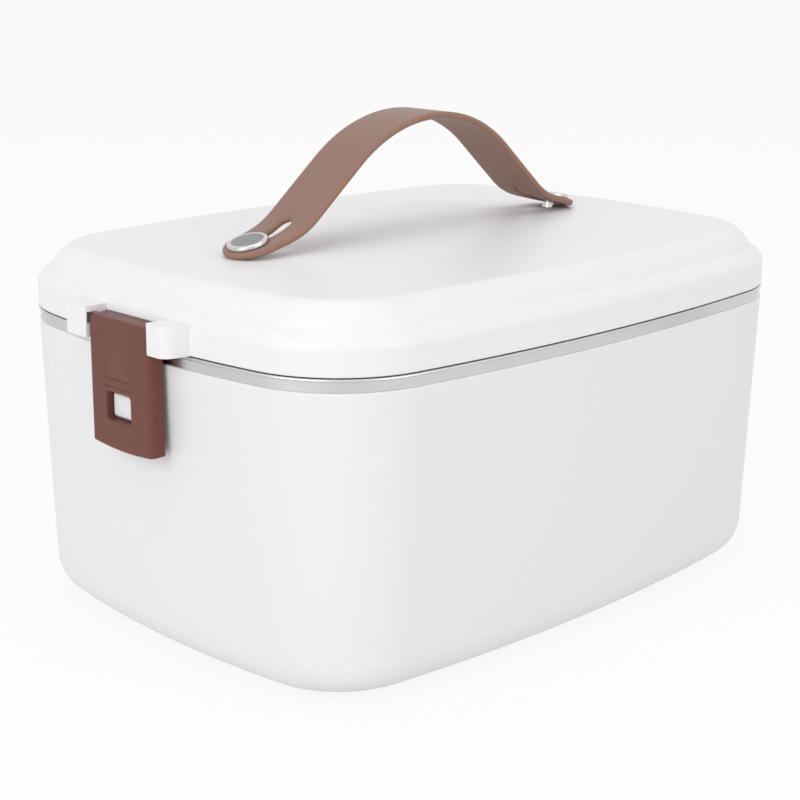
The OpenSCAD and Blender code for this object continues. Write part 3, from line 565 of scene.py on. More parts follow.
# the lighter edge colours below are partly rubbed wear, partly a painted highlight
WHITE = MouldedPlastic("satin white polypropylene", (0.80, 0.807, 0.82), grain=2400.0, grain_depth=0.000010,
                       cloud=0.015, rubbed_and_lit_color=(0.84, 0.845, 0.85), rub_and_highlight_share=0.3)
LID_WHITE = MouldedPlastic("satin white lid polypropylene", (0.835, 0.837, 0.84), roughness=0.38, grain=2400.0,
                           grain_depth=0.000008, cloud=0.012, rubbed_and_lit_color=(0.86, 0.86, 0.86), rub_and_highlight_share=0.3)
PALE = MouldedPlastic("pale grey liner plastic", (0.66, 0.67, 0.68), roughness=0.5, grain=2000.0,
                      grain_depth=0.000014, cloud=0.03, rubbed_and_lit_color=(0.75, 0.76, 0.77), rub_and_highlight_share=0.0)
BROWN = MouldedPlastic("brown latch plastic", (0.152, 0.05, 0.036), roughness=0.44, grain=2300.0,
                       grain_depth=0.000010, cloud=0.02, rubbed_and_lit_color=(0.2, 0.08, 0.06), rub_and_highlight_share=0.3, specular=0.3)
BLACK = MouldedPlastic("black inlet plastic", (0.022, 0.022, 0.024), roughness=0.4, grain=2100.0,
                       grain_depth=0.000014, cloud=0.1, rubbed_and_lit_color=(0.08, 0.08, 0.085), rub_and_highlight_share=0.5)
LENS = MouldedPlastic("amber lens plastic", (0.5, 0.07, 0.03), roughness=0.12, grain=1200.0,
                      grain_depth=0.000004, cloud=0.1, rubbed_and_lit_color=(0.6, 0.15, 0.08), coat=0.6)
# the strap's edge colour is a painted highlight along its rounded rims
STRAP = SoftCover("pebbled tan strap cover", (0.258, 0.142, 0.104), rim_highlight_color=(0.29, 0.145, 0.09))
STEEL = BrushedSteel("brushed container steel")
# the stud's lighter rim colour is a painted highlight on its bevel
STUD_STEEL = TurnedSteel("turned stud steel", face=(0.25, 0.26, 0.255), rim=(0.6, 0.6, 0.6),
                         face_from=0.0021, face_to=0.0076)
PIN_STEEL = CastMetal("plated pin", (0.78, 0.74, 0.64), roughness=0.22)
SCREW_STEEL = CastMetal("zinc-plated screw", (0.58, 0.59, 0.6), roughness=0.33)
ALUMINIUM = CastMetal("cast aluminium", (0.72, 0.73, 0.74), roughness=0.36, tarnish=(0.5, 0.5, 0.5))
FOOT_RUBBER = Rubber("grey foot rubber", (0.05, 0.05, 0.052))
SEAL_RUBBER = Rubber("dark seal silicone", (0.06, 0.045, 0.04), roughness=0.5)
RING_RUBBER = Rubber("red-brown ring silicone", (0.42, 0.12, 0.06), roughness=0.55)
CERAMIC = Rubber("sintered ceramic", (0.62, 0.58, 0.48), roughness=0.6)
LEAD_COVER = Rubber("red lead cover", (0.4, 0.05, 0.04), roughness=0.45)


# ---------------------------------------------------------------- mesh utilities


def keep(items: Iterable[object], kind: type) -> list:
    """Elements of one kind."""
    return [item for item in items if isinstance(item, kind)]


def linked(name: str, data: bpy.types.ID) -> bpy.types.Object:
    """Stands data in the scene.

    Args:
        name: the object's name.
        data: its mesh, lamp or camera.

    Returns:
        The object.
    """
    obj = bpy.data.objects.new(name, data)
    bpy.context.scene.collection.objects.link(obj)
    return obj


def stored(bm: BMesh, name: str) -> bpy.types.Object:
    """Turns a mesh into an object.

    Args:
        bm: the mesh, which is freed.
        name: the object's name.

    Returns:
        The linked object.
    """
    mesh = bpy.data.meshes.new(name)
    bm.to_mesh(mesh)
    bm.free()
    return linked(name, mesh)


def finish_mesh(bm: BMesh, name: str) -> bpy.types.Object:
    """Turns a mesh in millimetres into a smoothly shaded object in metres.

    Args:
        bm: the mesh, which is freed.
        name: the object's name.

    Returns:
        The linked object.
    """
    bmesh.ops.remove_doubles(bm, verts=bm.verts, dist=MERGE)
    bmesh.ops.recalc_face_normals(bm, faces=bm.faces)
    bmesh.ops.scale(bm, vec=(MM, MM, MM), verts=bm.verts)
    obj = stored(bm, name)
    smooth(obj)
    return obj


def smooth(obj: bpy.types.Object) -> None:
    """Shades a mesh smooth between its sharp edges."""
    obj.data.shade_smooth()
    obj.data.set_sharp_from_angle(angle=math.radians(SHARP_ANGLE))


def carve(obj: bpy.types.Object, cutters: Sequence[bpy.types.Object]) -> None:
    """Cuts shapes out of an object and removes the cutters.

    Args:
        obj: the object.
        cutters: closed shapes.
    """
    for cutter in cutters:
        modifier = obj.modifiers.new("cut", "BOOLEAN")
        modifier.operation = "DIFFERENCE"
        modifier.solver = "EXACT"
        modifier.object = cutter
    depsgraph = bpy.context.evaluated_depsgraph_get()
    mesh = bpy.data.meshes.new_from_object(obj.evaluated_get(depsgraph))
    old = obj.data
    obj.modifiers.clear()
    obj.data = mesh
    mesh.name = old.name
    bpy.data.meshes.remove(old)
    for cutter in cutters:
        remove(cutter)
    smooth(obj)


def remove(obj: bpy.types.Object) -> None:
    """Removes an object and its mesh.

    Args:
        obj: the object.
    """
    mesh = obj.data
    bpy.data.objects.remove(obj)
    bpy.data.meshes.remove(mesh)


def join(target: bpy.types.Object, others: Sequence[bpy.types.Object]) -> None:
    """Adds the meshes of other objects to one and removes them.

    Args:
        target: the object that keeps them all.
        others: objects whose meshes are added.
    """
    bm = bmesh.new()
    bm.from_mesh(target.data)
    for other in others:
        bm.from_mesh(other.data)
    bm.to_mesh(target.data)
    bm.free()
    for other in others:
        remove(other)
    smooth(target)


def crisp(obj: bpy.types.Object) -> None:
    """Weights the normals so that broad faces stay flat beside their rounded edges."""
    modifier = obj.modifiers.new("flat faces", "WEIGHTED_NORMAL")
    modifier.keep_sharp = True


def round_edges(bm: BMesh, edges: Sequence[BMEdge], radius: float, segments: int = 3) -> None:
    """Rounds edges.

    Args:
        bm: the mesh.
        edges: edges to round.
        radius: radius in the mesh's unit.
        segments: faces across the rounding.
    """
    bmesh.ops.bevel(bm, geom=list(edges), offset=radius, offset_type="OFFSET", affect="EDGES",
                    segments=segments, profile=0.5, material=-1, clamp_overlap=True)


def turned(edges: Iterable[BMEdge], angle: float = CORNER_ANGLE) -> list[BMEdge]:
    """Those edges whose faces meet at more than an angle in degrees."""
    limit = math.radians(angle)
    return [e for e in edges if len(e.link_faces) == 2 and e.calc_face_angle() > limit]


def arc(bm: BMesh, start: BMVert, centre: Sequence[float], axis: Sequence[float], angle: float,
        steps: int) -> BMVert:
    """Draws an arc of edges from a vertex.

    Args:
        bm: the mesh.
        start: the vertex.
        centre: the arc's centre.
        axis: the axis it turns about.
        angle: the angle in radians.
        steps: number of edges.

    Returns:
        The arc's last vertex.
    """
    out = bmesh.ops.spin(bm, geom=[start], cent=centre, axis=axis, dvec=(0.0, 0.0, 0.0),
                         angle=angle, steps=steps)
    return keep(out["geom_last"], BMVert)[0]


def prism(bm: BMesh, outline: Sequence[BMVert | BMEdge], along: Sequence[float]) -> None:
    """Fills an outline and draws it out into a solid.

    Args:
        bm: the mesh.
        outline: the outline's vertices or edges.
        along: how far it is drawn out.
    """
    face = bmesh.ops.contextual_create(bm, geom=outline)["faces"]
    out = bmesh.ops.extrude_face_region(bm, geom=face, use_keep_orig=True)
    bmesh.ops.translate(bm, vec=along, verts=keep(out["geom"], BMVert))


def box(low: Sequence[float], high: Sequence[float]) -> BMesh:
    """Box between two corners.

    Args:
        low: lowest corner.
        high: highest corner.

    Returns:
        The mesh.
    """
    bm = bmesh.new()
    size = Vector(high) - Vector(low)
    place = Matrix.Translation((Vector(high) + Vector(low)) / 2)
    bmesh.ops.create_cube(bm, size=1.0, matrix=place @ Matrix.Diagonal((*size, 1.0)))
    return bm


def rounded_bar(width: float, height: float, radius: float, steps: Sequence[tuple[float, float]],
                segments: int = 6) -> BMesh:
    """Bar along +Z with a rounded rectangle as its section.

    Args:
        width: width along X.
        height: height along Y.
        radius: corner radius.
        steps: pairs of a position along Z and how far the section grows there.
        segments: faces in each corner.

    Returns:
        The mesh.
    """
    bm = bmesh.new()
    bmesh.ops.create_grid(bm, x_segments=1, y_segments=1, size=0.5,
                          matrix=Matrix.Diagonal((width, height, 1.0, 1.0)))
    bmesh.ops.bevel(bm, geom=list(bm.verts), offset=radius, offset_type="OFFSET", affect="VERTICES",
                    segments=segments, profile=0.5, material=-1)
    bmesh.ops.translate(bm, vec=(0.0, 0.0, steps[0][0]), verts=bm.verts)
    grow_by(bm.verts, width, height, steps[0][1], 0.0)
    top = list(bm.faces)
    for i, ((z0, grow0), (z1, grow1)) in enumerate(zip(steps, steps[1:])):
        out = bmesh.ops.extrude_face_region(bm, geom=top, use_keep_orig=i == 0)
        fresh = keep(out["geom"], BMVert)
        if i:
            bmesh.ops.delete(bm, geom=top, context="FACES_ONLY")
        bmesh.ops.translate(bm, vec=(0.0, 0.0, z1 - z0), verts=fresh)
        grow_by(fresh, width, height, grow1, grow0)
        top = keep(out["geom"], BMFace)
    bmesh.ops.recalc_face_normals(bm, faces=bm.faces)
    return bm


def grow_by(verts: Iterable[BMVert], width: float, height: float, after: float, before: float) -> None:
    """Grows a centred section by an amount on each side.

    Args:
        verts: the section's vertices.
        width: the section's own width.
        height: the section's own height.
        after: growth that it gets.
        before: growth that it has.
    """
    for vert in verts:
        vert.co.x *= (width + 2 * after) / (width + 2 * before)
        vert.co.y *= (height + 2 * after) / (height + 2 * before)


def spun(profile: Sequence[tuple[float, float]], segments: int = 64) -> BMesh:
    """Solid turned about Z from a profile of radius and height, with a surface map.

    Args:
        profile: pairs of radius and height, from axis to axis.
        segments: faces round the axis.

    Returns:
        The mesh, whose map has the way round as U and the profile as V.
    """
    bm = bmesh.new()
    verts = [bm.verts.new((r, 0.0, z)) for r, z in profile]
    edges = [bm.edges.new(pair) for pair in zip(verts, verts[1:])]
    bmesh.ops.spin(bm, geom=verts + edges, cent=(0.0, 0.0, 0.0), axis=(0.0, 0.0, 1.0),
                   dvec=(0.0, 0.0, 0.0), angle=math.tau, steps=segments, use_merge=True)
    bmesh.ops.remove_doubles(bm, verts=bm.verts, dist=MERGE)
    bmesh.ops.recalc_face_normals(bm, faces=bm.faces)
    mapping = bm.loops.layers.uv.new("surface")
    for face in bm.faces:
        middle = face.calc_center_median()
        bearing = math.atan2(middle.y, middle.x)
        for loop in face.loops:
            co = loop.vert.co
            reach = math.hypot(co.x, co.y)
            turn = math.atan2(co.y, co.x) if reach > MERGE else bearing
            turn += math.tau * round((bearing - turn) / math.tau)
            loop[mapping].uv = (turn * 6.0 * MM, (reach + co.z) * MM)
    return bm


def laid(bm: BMesh, *matrices: Matrix) -> BMesh:
    """Moves a mesh.

    Args:
        bm: the mesh.
        *matrices: transforms, the last one first.

    Returns:
        The same mesh.
    """
    for matrix in reversed(matrices):
        bmesh.ops.transform(bm, matrix=matrix, verts=bm.verts)
    return bm


def hinged(bm: BMesh, end: End) -> BMesh:
    """Mesh turned about Z, laid along one latch's hinge."""
    return laid(bm, at(end.value * PIVOT[0], 0.0, PIVOT[1]), about("X", 90))


def mirrored(bm: BMesh, end: End, side: int = 1) -> BMesh:
    """Mesh of the right end's +Y side, mirrored to an end and a side of the box."""
    return laid(bm, Matrix.Diagonal((end.value, side, 1.0, 1.0)))


def at(x: float, y: float, z: float) -> Matrix:
    """Shift."""
    return Matrix.Translation((x, y, z))


def about(axis: str, degrees: float) -> Matrix:
    """Turn about an axis."""
    return Matrix.Rotation(math.radians(degrees), 4, axis)


def publish(obj: bpy.types.Object, body: Body, slot: Slot, finish: Finish, *nodes: str) -> None:
    """Gives a piece its finish and body, and hides the nodes it stands for.

    Args:
        obj: the piece.
        body: the body it rides on.
        slot: the record's slot; not used.
        finish: its finish.
        *nodes: CAD nodes that it replaces.
    """
    obj.data.materials.clear()
    obj.data.materials.append(finish.material())
    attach(obj, body.value)
    if nodes:
        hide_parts(*nodes)
    log.info("%s: %d faces, on %s", obj.name, len(obj.data.polygons), body.value)


# ----------------------------------------------------------------- bowed outline


@dataclass(frozen=True)
class Level:
    """A ring of the outline: its height, its inset and its share of that size."""

    z: float
    inset: float
    share: float = 1.0


def bend(z: float, inset: float, radius: float, start: float, stop: float, steps: int) -> list[Level]:
    """Round stretch of a section.

    Args:
        z: height of the rounding's centre.
        inset: inset of its centre.
        radius: its radius.
        start: first angle in degrees; 0 points outwards, 90 up and 180 inwards.
        stop: last angle.
        steps: number of steps.

    Returns:
        The levels.
    """
    angles = [math.radians(start + (stop - start) * i / steps) for i in range(steps + 1)]
    return [Level(z + radius * math.sin(a), inset - radius * math.cos(a)) for a in angles]


def divided(levels: Sequence[Level]) -> list[Level]:
    """Levels with long stretches divided and a holding ring near both ends of each.

    Args:
        levels: the section.

    Returns:
        The longer list.
    """
    out = [levels[0]]
    for first, last in zip(levels, levels[1:]):
        length = math.hypot(last.z - first.z, last.inset - first.inset)
        stops = [1.0]
        if length > 4 * HOLD and first.share == last.share == 1.0:
            inner = max(1, round(length / LONG_SPAN))
            held = HOLD / length
            stops = [held + (1 - 2 * held) * i / inner for i in range(inner + 1)] + [1.0]
        for t in stops:
            out.append(Level(first.z + (last.z - first.z) * t, first.inset + (last.inset - first.inset) * t,
                             first.share + (last.share - first.share) * t))
    return out


@dataclass(frozen=True)
class Outline:
    """The box's bowed outline at the housing's top edge."""

    length: float = 232.0
    width: float = 174.0
    end_bow_r: float = 355.0
    side_bow_r: float = 685.0
    corner_r: float = 37.0
    bow_steps: int = 9
    corner_steps: int = 14

    @property
    def end_c(self) -> Vector:
        """Centre of the end wall's bow."""
        return Vector((self.length / 2 - self.end_bow_r, 0.0))

    @property
    def side_c(self) -> Vector:
        """Centre of the long wall's bow."""
        return Vector((0.0, self.width / 2 - self.side_bow_r))

    @property
    def corner_c(self) -> Vector:
        """Centre of the corner, where both bows run into it smoothly.

        Returns:
            The centre in plan.
        """
        run = self.end_c - self.side_c
        span = run.length
        run = run / span
        side_gap = self.side_bow_r - self.corner_r
        end_gap = self.end_bow_r - self.corner_r
        forward = (side_gap ** 2 - end_gap ** 2 + span ** 2) / (2 * span)
        across = math.sqrt(side_gap ** 2 - forward ** 2)
        return self.side_c + forward * run + across * Vector((run.y, -run.x))

    def turns(self) -> tuple[float, float]:
        """Angles at which the corner starts and ends.

        Returns:
            Both angles in radians.
        """
        to_end = self.corner_c - self.end_c
        to_side = self.corner_c - self.side_c
        return math.atan2(to_end.y, to_end.x), math.atan2(to_side.y, to_side.x)

    def normal(self, x: float, y: float) -> Vector:
        """Outward direction of the outline at a point on it.

        Args:
            x: the point's X.
            y: the point's Y.

        Returns:
            The unit direction.
        """
        point = Vector((abs(x), abs(y)))
        corner = self.corner_c
        start, stop = self.turns()
        bearing = math.atan2(point.y - corner.y, point.x - corner.x)
        centre = self.end_c if bearing < start else self.side_c if bearing > stop else corner
        out = (point - centre).normalized()
        return Vector((math.copysign(out.x, x), math.copysign(out.y, y)))

    def end_x(self, y: float, inset: float = 0.0) -> float:
        """X of the end wall at a distance from its centre line."""
        return self.end_c.x + math.sqrt((self.end_bow_r - inset) ** 2 - y ** 2)

    def side_y(self, x: float, inset: float = 0.0) -> float:
        """Y of the long wall at a distance from its centre line."""
        return self.side_c.y + math.sqrt((self.side_bow_r - inset) ** 2 - x ** 2)

    def ring(self, bm: BMesh) -> list[BMEdge]:
        """Spins and mirrors one closed ring of the outline.

        Args:
            bm: the mesh that it is added to.

        Returns:
            The ring's edges.
        """
        start, stop = self.turns()
        last = bm.verts.new((self.length / 2, 0.0, 0.0))
        arcs = ((self.end_c, start, self.bow_steps), (self.corner_c, stop - start, self.corner_steps),
                (self.side_c, math.pi / 2 - stop, self.bow_steps))
        for centre, angle, steps in arcs:
            last = arc(bm, last, (*centre, 0.0), (0.0, 0.0, 1.0), angle, steps)
        last.co.x = 0.0
        for axis in ("X", "Y"):
            geom = list(bm.verts) + list(bm.edges)
            bmesh.ops.mirror(bm, geom=geom, matrix=Matrix(), merge_dist=MERGE, axis=axis)
        return list(bm.edges)

    def sweep(self, name: str, levels: Sequence[Level], closed: bool) -> bpy.types.Object:
        """Sweeps a section round the outline.

        Args:
            name: the object's name.
            levels: the section, with a ring of the outline at each.
            closed: whether the section closes on itself; otherwise both ends are capped.

        Returns:
            The object, with a surface map along and across the sweep.
        """
        bm = bmesh.new()
        edges = self.ring(bm)
        names = ("base_x", "base_y", "along", "across")
        base_x, base_y, along, across = (bm.verts.layers.float.new(name) for name in names)
        around = sorted(bm.verts, key=lambda v: math.atan2(v.co.y, v.co.x))
        perimeter = 0.0
        for vert, after in zip(around, around[1:] + around[:1]):
            vert[base_x], vert[base_y], vert[along] = vert.co.x, vert.co.y, perimeter
            perimeter += (after.co - vert.co).length
        path = list(levels) + ([levels[0]] if closed else [])
        travelled = 0.0
        verts: Sequence[BMVert] = around
        for i, level in enumerate(path):
            if i:
                before = path[i - 1]
                travelled += math.hypot(level.z - before.z, level.inset - before.inset) or HOLD
                out = bmesh.ops.extrude_edge_only(bm, edges=edges)
                verts = keep(out["geom"], BMVert)
                fresh = set(verts)
                edges = [e for e in keep(out["geom"], BMEdge) if set(e.verts) <= fresh]
            for vert in verts:
                flat = Vector((vert[base_x], vert[base_y]))
                flat = (flat - self.normal(*flat) * level.inset) * level.share
                vert.co = (flat.x, flat.y, level.z)
                vert[across] = travelled
            if not closed and i in (0, len(path) - 1):
                bmesh.ops.contextual_create(bm, geom=edges)
        mapping = bm.loops.layers.uv.new("surface")
        for face in bm.faces:
            values = [loop.vert[along] for loop in face.loops]
            wraps = max(values) - min(values) > perimeter / 2
            for loop, value in zip(face.loops, values):
                lift = perimeter if wraps and value < perimeter / 2 else 0.0
                loop[mapping].uv = ((value + lift) * MM, loop.vert[across] * MM)
        for key in names:
            bm.verts.layers.float.remove(bm.verts.layers.float[key])
        return finish_mesh(bm, name)


OUTLINE = Outline()


# ----------------------------------------------------------------------- housing


@dataclass
class Housing:
    """Outer housing, the liner in it, its base, its inlet and its heater."""

    base_z: float = 1.2
    top_z: float = 96.2
    draw: float = 2.4
    base_round: float = 13.0
    wall: float = 2.4
    edge_r: float = 0.6
    cover: float = 2.2
    ledge_t: float = 1.6
    rebate: float = 17.7
    opening: float = 22.4
    ledge_w: float = 5.0
    ledge_h: float = 2.0
    ledge_slope: float = 3.0
    inlet_z: float = 22.8
    inlet_size: tuple[float, float, float] = (26.6, 15.2, 3.0)
    lens_x: float = 24.0
    lens_hole_r: float = 2.7
    mouth_r: float = 0.35
    lens_mouth_r: float = 0.3
    cut_depth: float = 9.0
    cut_past: float = 2.0
    cut_skin: float = 0.02
    catch_root: float = 3.0
    catch_w: float = 11.2
    catch_z: tuple[float, float] = (76.9, 84.9)
    catch_tip: float = 120.2
    catch_y: float = 1.2
    catch_lean: tuple[float, float] = (0.25, -0.2)
    catch_round: float = 0.9
    foot_at: tuple[float, float] = (82.0, 52.0)
    foot_r: float = 6.0
    foot_top: float = 2.0
    foot_rim: float = 0.9
    foot_hollow: float = 0.5
    foot_sole: tuple[tuple[float, float], ...] = ((2.4, 0.45), (1.8, 0.0))

    def wall_in(self, z: float) -> float:
        """Inset of the outer face at a height."""
        straight = self.top_z - self.base_z - self.edge_r - self.base_round
        return self.draw * (self.top_z - self.edge_r - z) / straight

    def section(self) -> list[Level]:
        """Closed section of the housing's wall.

        Returns:
            The levels, from the base out and up, and back inside.
        """
        inner = self.base_round - self.wall
        floor = self.base_z + self.cover + self.ledge_t
        under = self.top_z - self.ledge_h
        slope_z = under - self.ledge_slope
        return divided([
            Level(self.base_z, self.rebate),
            *bend(self.base_z + self.base_round, self.draw + self.base_round, self.base_round, -90, 0, 12),
            *bend(self.top_z - self.edge_r, self.edge_r, self.edge_r, 0, 90, 4),
            Level(self.top_z, self.ledge_w),
            Level(under, self.ledge_w),
            Level(slope_z, self.wall + self.wall_in(slope_z)),
            *bend(floor + inner, self.draw + self.wall + inner, inner, 0, -90, 6),
            Level(floor, self.opening),
            Level(self.base_z + self.cover, self.opening),
            Level(self.base_z + self.cover, self.rebate),
        ])

    def catch(self, end: End) -> bpy.types.Object:
        """Rounded catch on one end wall.

        Args:
            end: the end it stands on.

        Returns:
            The object.
        """
        low, high = self.catch_z
        root = OUTLINE.end_x(0.0) - self.catch_root
        left, right = self.catch_y - self.catch_w / 2, self.catch_y + self.catch_w / 2
        bm = box((root, left, low), (self.catch_tip, right, high))
        for vert in bm.verts:
            if vert.co.x > root + NEAR:
                vert.co.z += self.catch_lean[0 if vert.co.z < (low + high) / 2 else 1]
        free = [e for e in bm.edges if max(v.co.x for v in e.verts) > root + NEAR]
        round_edges(bm, free, self.catch_round, 5)
        return finish_mesh(mirrored(bm, end), f"catch_{end.name.lower()}")

    def inlet_cutters(self) -> list[bpy.types.Object]:
        """Shapes of the inlet's and the lens's openings, with softened mouths.

        Returns:
            Both cutters.
        """
        deep, past, soft = self.cut_depth, self.cut_past, self.mouth_r
        bar = rounded_bar(*self.inlet_size, [(-past, soft), (0.0, soft), (soft, 0.0), (deep, 0.0)])
        hole_r, soft = self.lens_hole_r, self.lens_mouth_r
        hole = spun([(0.0, -past), (hole_r + soft, -past), (hole_r + soft, 0.0), (hole_r, soft),
                     (hole_r, deep), (0.0, deep)], 48)
        cutters = []
        for bm, x, name in ((bar, 0.0, "inlet mouth"), (hole, self.lens_x, "lens hole")):
            wall_y = OUTLINE.side_y(x, self.wall_in(self.inlet_z))
            laid(bm, at(x, wall_y + self.cut_skin, self.inlet_z), about("X", 90))
            cutters.append(finish_mesh(bm, name))
        return cutters

    def build(self) -> None:
        """Builds the housing's shell and dresses what is in it."""
        shell = OUTLINE.sweep("housing_shell", self.section(), True)
        carve(shell, self.inlet_cutters())
        join(shell, [self.catch(end) for end in End])
        publish(shell, Body.HOUSING, Slot.SHELL, WHITE, "outer_housing")
        self.feet()
        self.insides()

    def feet(self) -> None:
        """Four turned rubber feet with a dished sole and a rounded rim."""
        r, top, soft = self.foot_r, self.foot_top, self.foot_rim
        angles = [math.radians(15.0 * i) for i in range(7)]
        rim = [(r - soft + soft * math.sin(a), soft - soft * math.cos(a)) for a in angles]
        sole = [(r - inward, z) for inward, z in self.foot_sole]
        profile = [(0.0, self.foot_hollow), *sole, *rim, (r, top), (0.0, top)]
        parts = []
        for sx in (-1, 1):
            for sy in (-1, 1):
                bm = laid(spun(profile, 48), at(sx * self.foot_at[0], sy * self.foot_at[1], 0.0))
                parts.append(finish_mesh(bm, "feet"))
        join(parts[0], parts[1:])
        parts[0].name = "feet"
        publish(parts[0], Body.HOUSING, Slot.FOOT, FOOT_RUBBER, "rubber_feet")

    def insides(self) -> None:
        """Copies the inner nodes with merged, smoothly shaded meshes."""
        plan = {
            "heating_well": (Slot.WELL, PALE), "base_cover": (Slot.SHELL, WHITE),
            "cover_screws": (Slot.SCREW, SCREW_STEEL), "heating_plate": (Slot.PLATE, ALUMINIUM),
            "plate_ring": (Slot.RING, RING_RUBBER), "heater_block": (Slot.PLATE, ALUMINIUM),
            "heater_bracket": (Slot.SCREW, SCREW_STEEL), "bracket_screws": (Slot.SCREW, SCREW_STEEL),
            "thermostat": (Slot.CERAMIC, CERAMIC), "thermal_fuse": (Slot.CERAMIC, CERAMIC),
            "fuse_clip": (Slot.SCREW, SCREW_STEEL), "plate_screws": (Slot.SCREW, SCREW_STEEL),
            "internal_leads": (Slot.LEAD, LEAD_COVER), "power_inlet": (Slot.INLET, BLACK),
            "inlet_pins": (Slot.PIN, PIN_STEEL), "indicator_lens": (Slot.LENS, LENS),
            "indicator_lamp": (Slot.CERAMIC, CERAMIC),
        }
        for node, (slot, finish) in plan.items():
            smooth_copy(node, Body.HOUSING, slot, finish)


def smooth_copy(node: str, body: Body, slot: Slot, finish: Finish) -> None:
    """Stands a merged and smoothly shaded copy of a node's mesh in its place.

    Args:
        node: the CAD node.
        body: the body it rides on.
        slot: the record's slot.
        finish: its finish.
    """
    bm = bmesh.new()
    bm.from_mesh(bpy.data.objects[node].data)
    bmesh.ops.remove_doubles(bm, verts=bm.verts, dist=MERGE * MM)
    obj = stored(bm, f"{node}_dressed")
    smooth(obj)
    publish(obj, body, slot, finish, node)


# --------------------------------------------------------------------- container


@dataclass
class Container:
    """Lift-out steel pot whose flange and skirt show as the bright band."""

    floor_z: float = 26.2
    inset: float = 12.0
    draw: float = 5.0
    round_r: float = 14.0
    sheet: float = 0.6
    mouth_r: float = 2.5
    skirt_in: float = 0.35
    skirt_z: float = 96.25
    lip_r: float = 0.5
    flange_z: float = 100.2

    def section(self) -> list[Level]:
        """Section from the middle of the floor's underside, out, and back to its upper side.

        Returns:
            The levels.
        """
        pot_z = self.floor_z + self.round_r
        pot_in = self.inset + self.draw + self.round_r
        mouth_z = self.flange_z - self.mouth_r
        mouth_in = self.inset + self.sheet - self.mouth_r
        under = bend(pot_z, pot_in, self.round_r, -90, 0, 10)
        inner = bend(pot_z, pot_in, self.round_r - self.sheet, 0, -90, 10)
        walls = divided([
            *under,
            *bend(mouth_z, mouth_in, self.mouth_r - self.sheet, 180, 90, 5),
            Level(self.flange_z - self.sheet, self.skirt_in + self.sheet),
            Level(self.skirt_z, self.skirt_in + self.sheet),
            Level(self.skirt_z, self.skirt_in),
            *bend(self.flange_z - self.lip_r, self.skirt_in, self.lip_r, -90, 90, 7),
            *bend(mouth_z, mouth_in, self.mouth_r, 90, 180, 5),
            *inner,
        ])
        shares = (0.04, 0.3, 0.6, 0.85)
        first = [Level(under[0].z, under[0].inset, s) for s in shares]
        last = [Level(inner[-1].z, inner[-1].inset, s) for s in reversed(shares)]
        return first + walls + last

    def build(self) -> None:
        """Builds and dresses the container."""
        pot = OUTLINE.sweep("container_pot", self.section(), False)
        publish(pot, Body.CONTAINER, Slot.CONTAINER, STEEL, "steel_container")


# --------------------------------------------------------------------------- lid


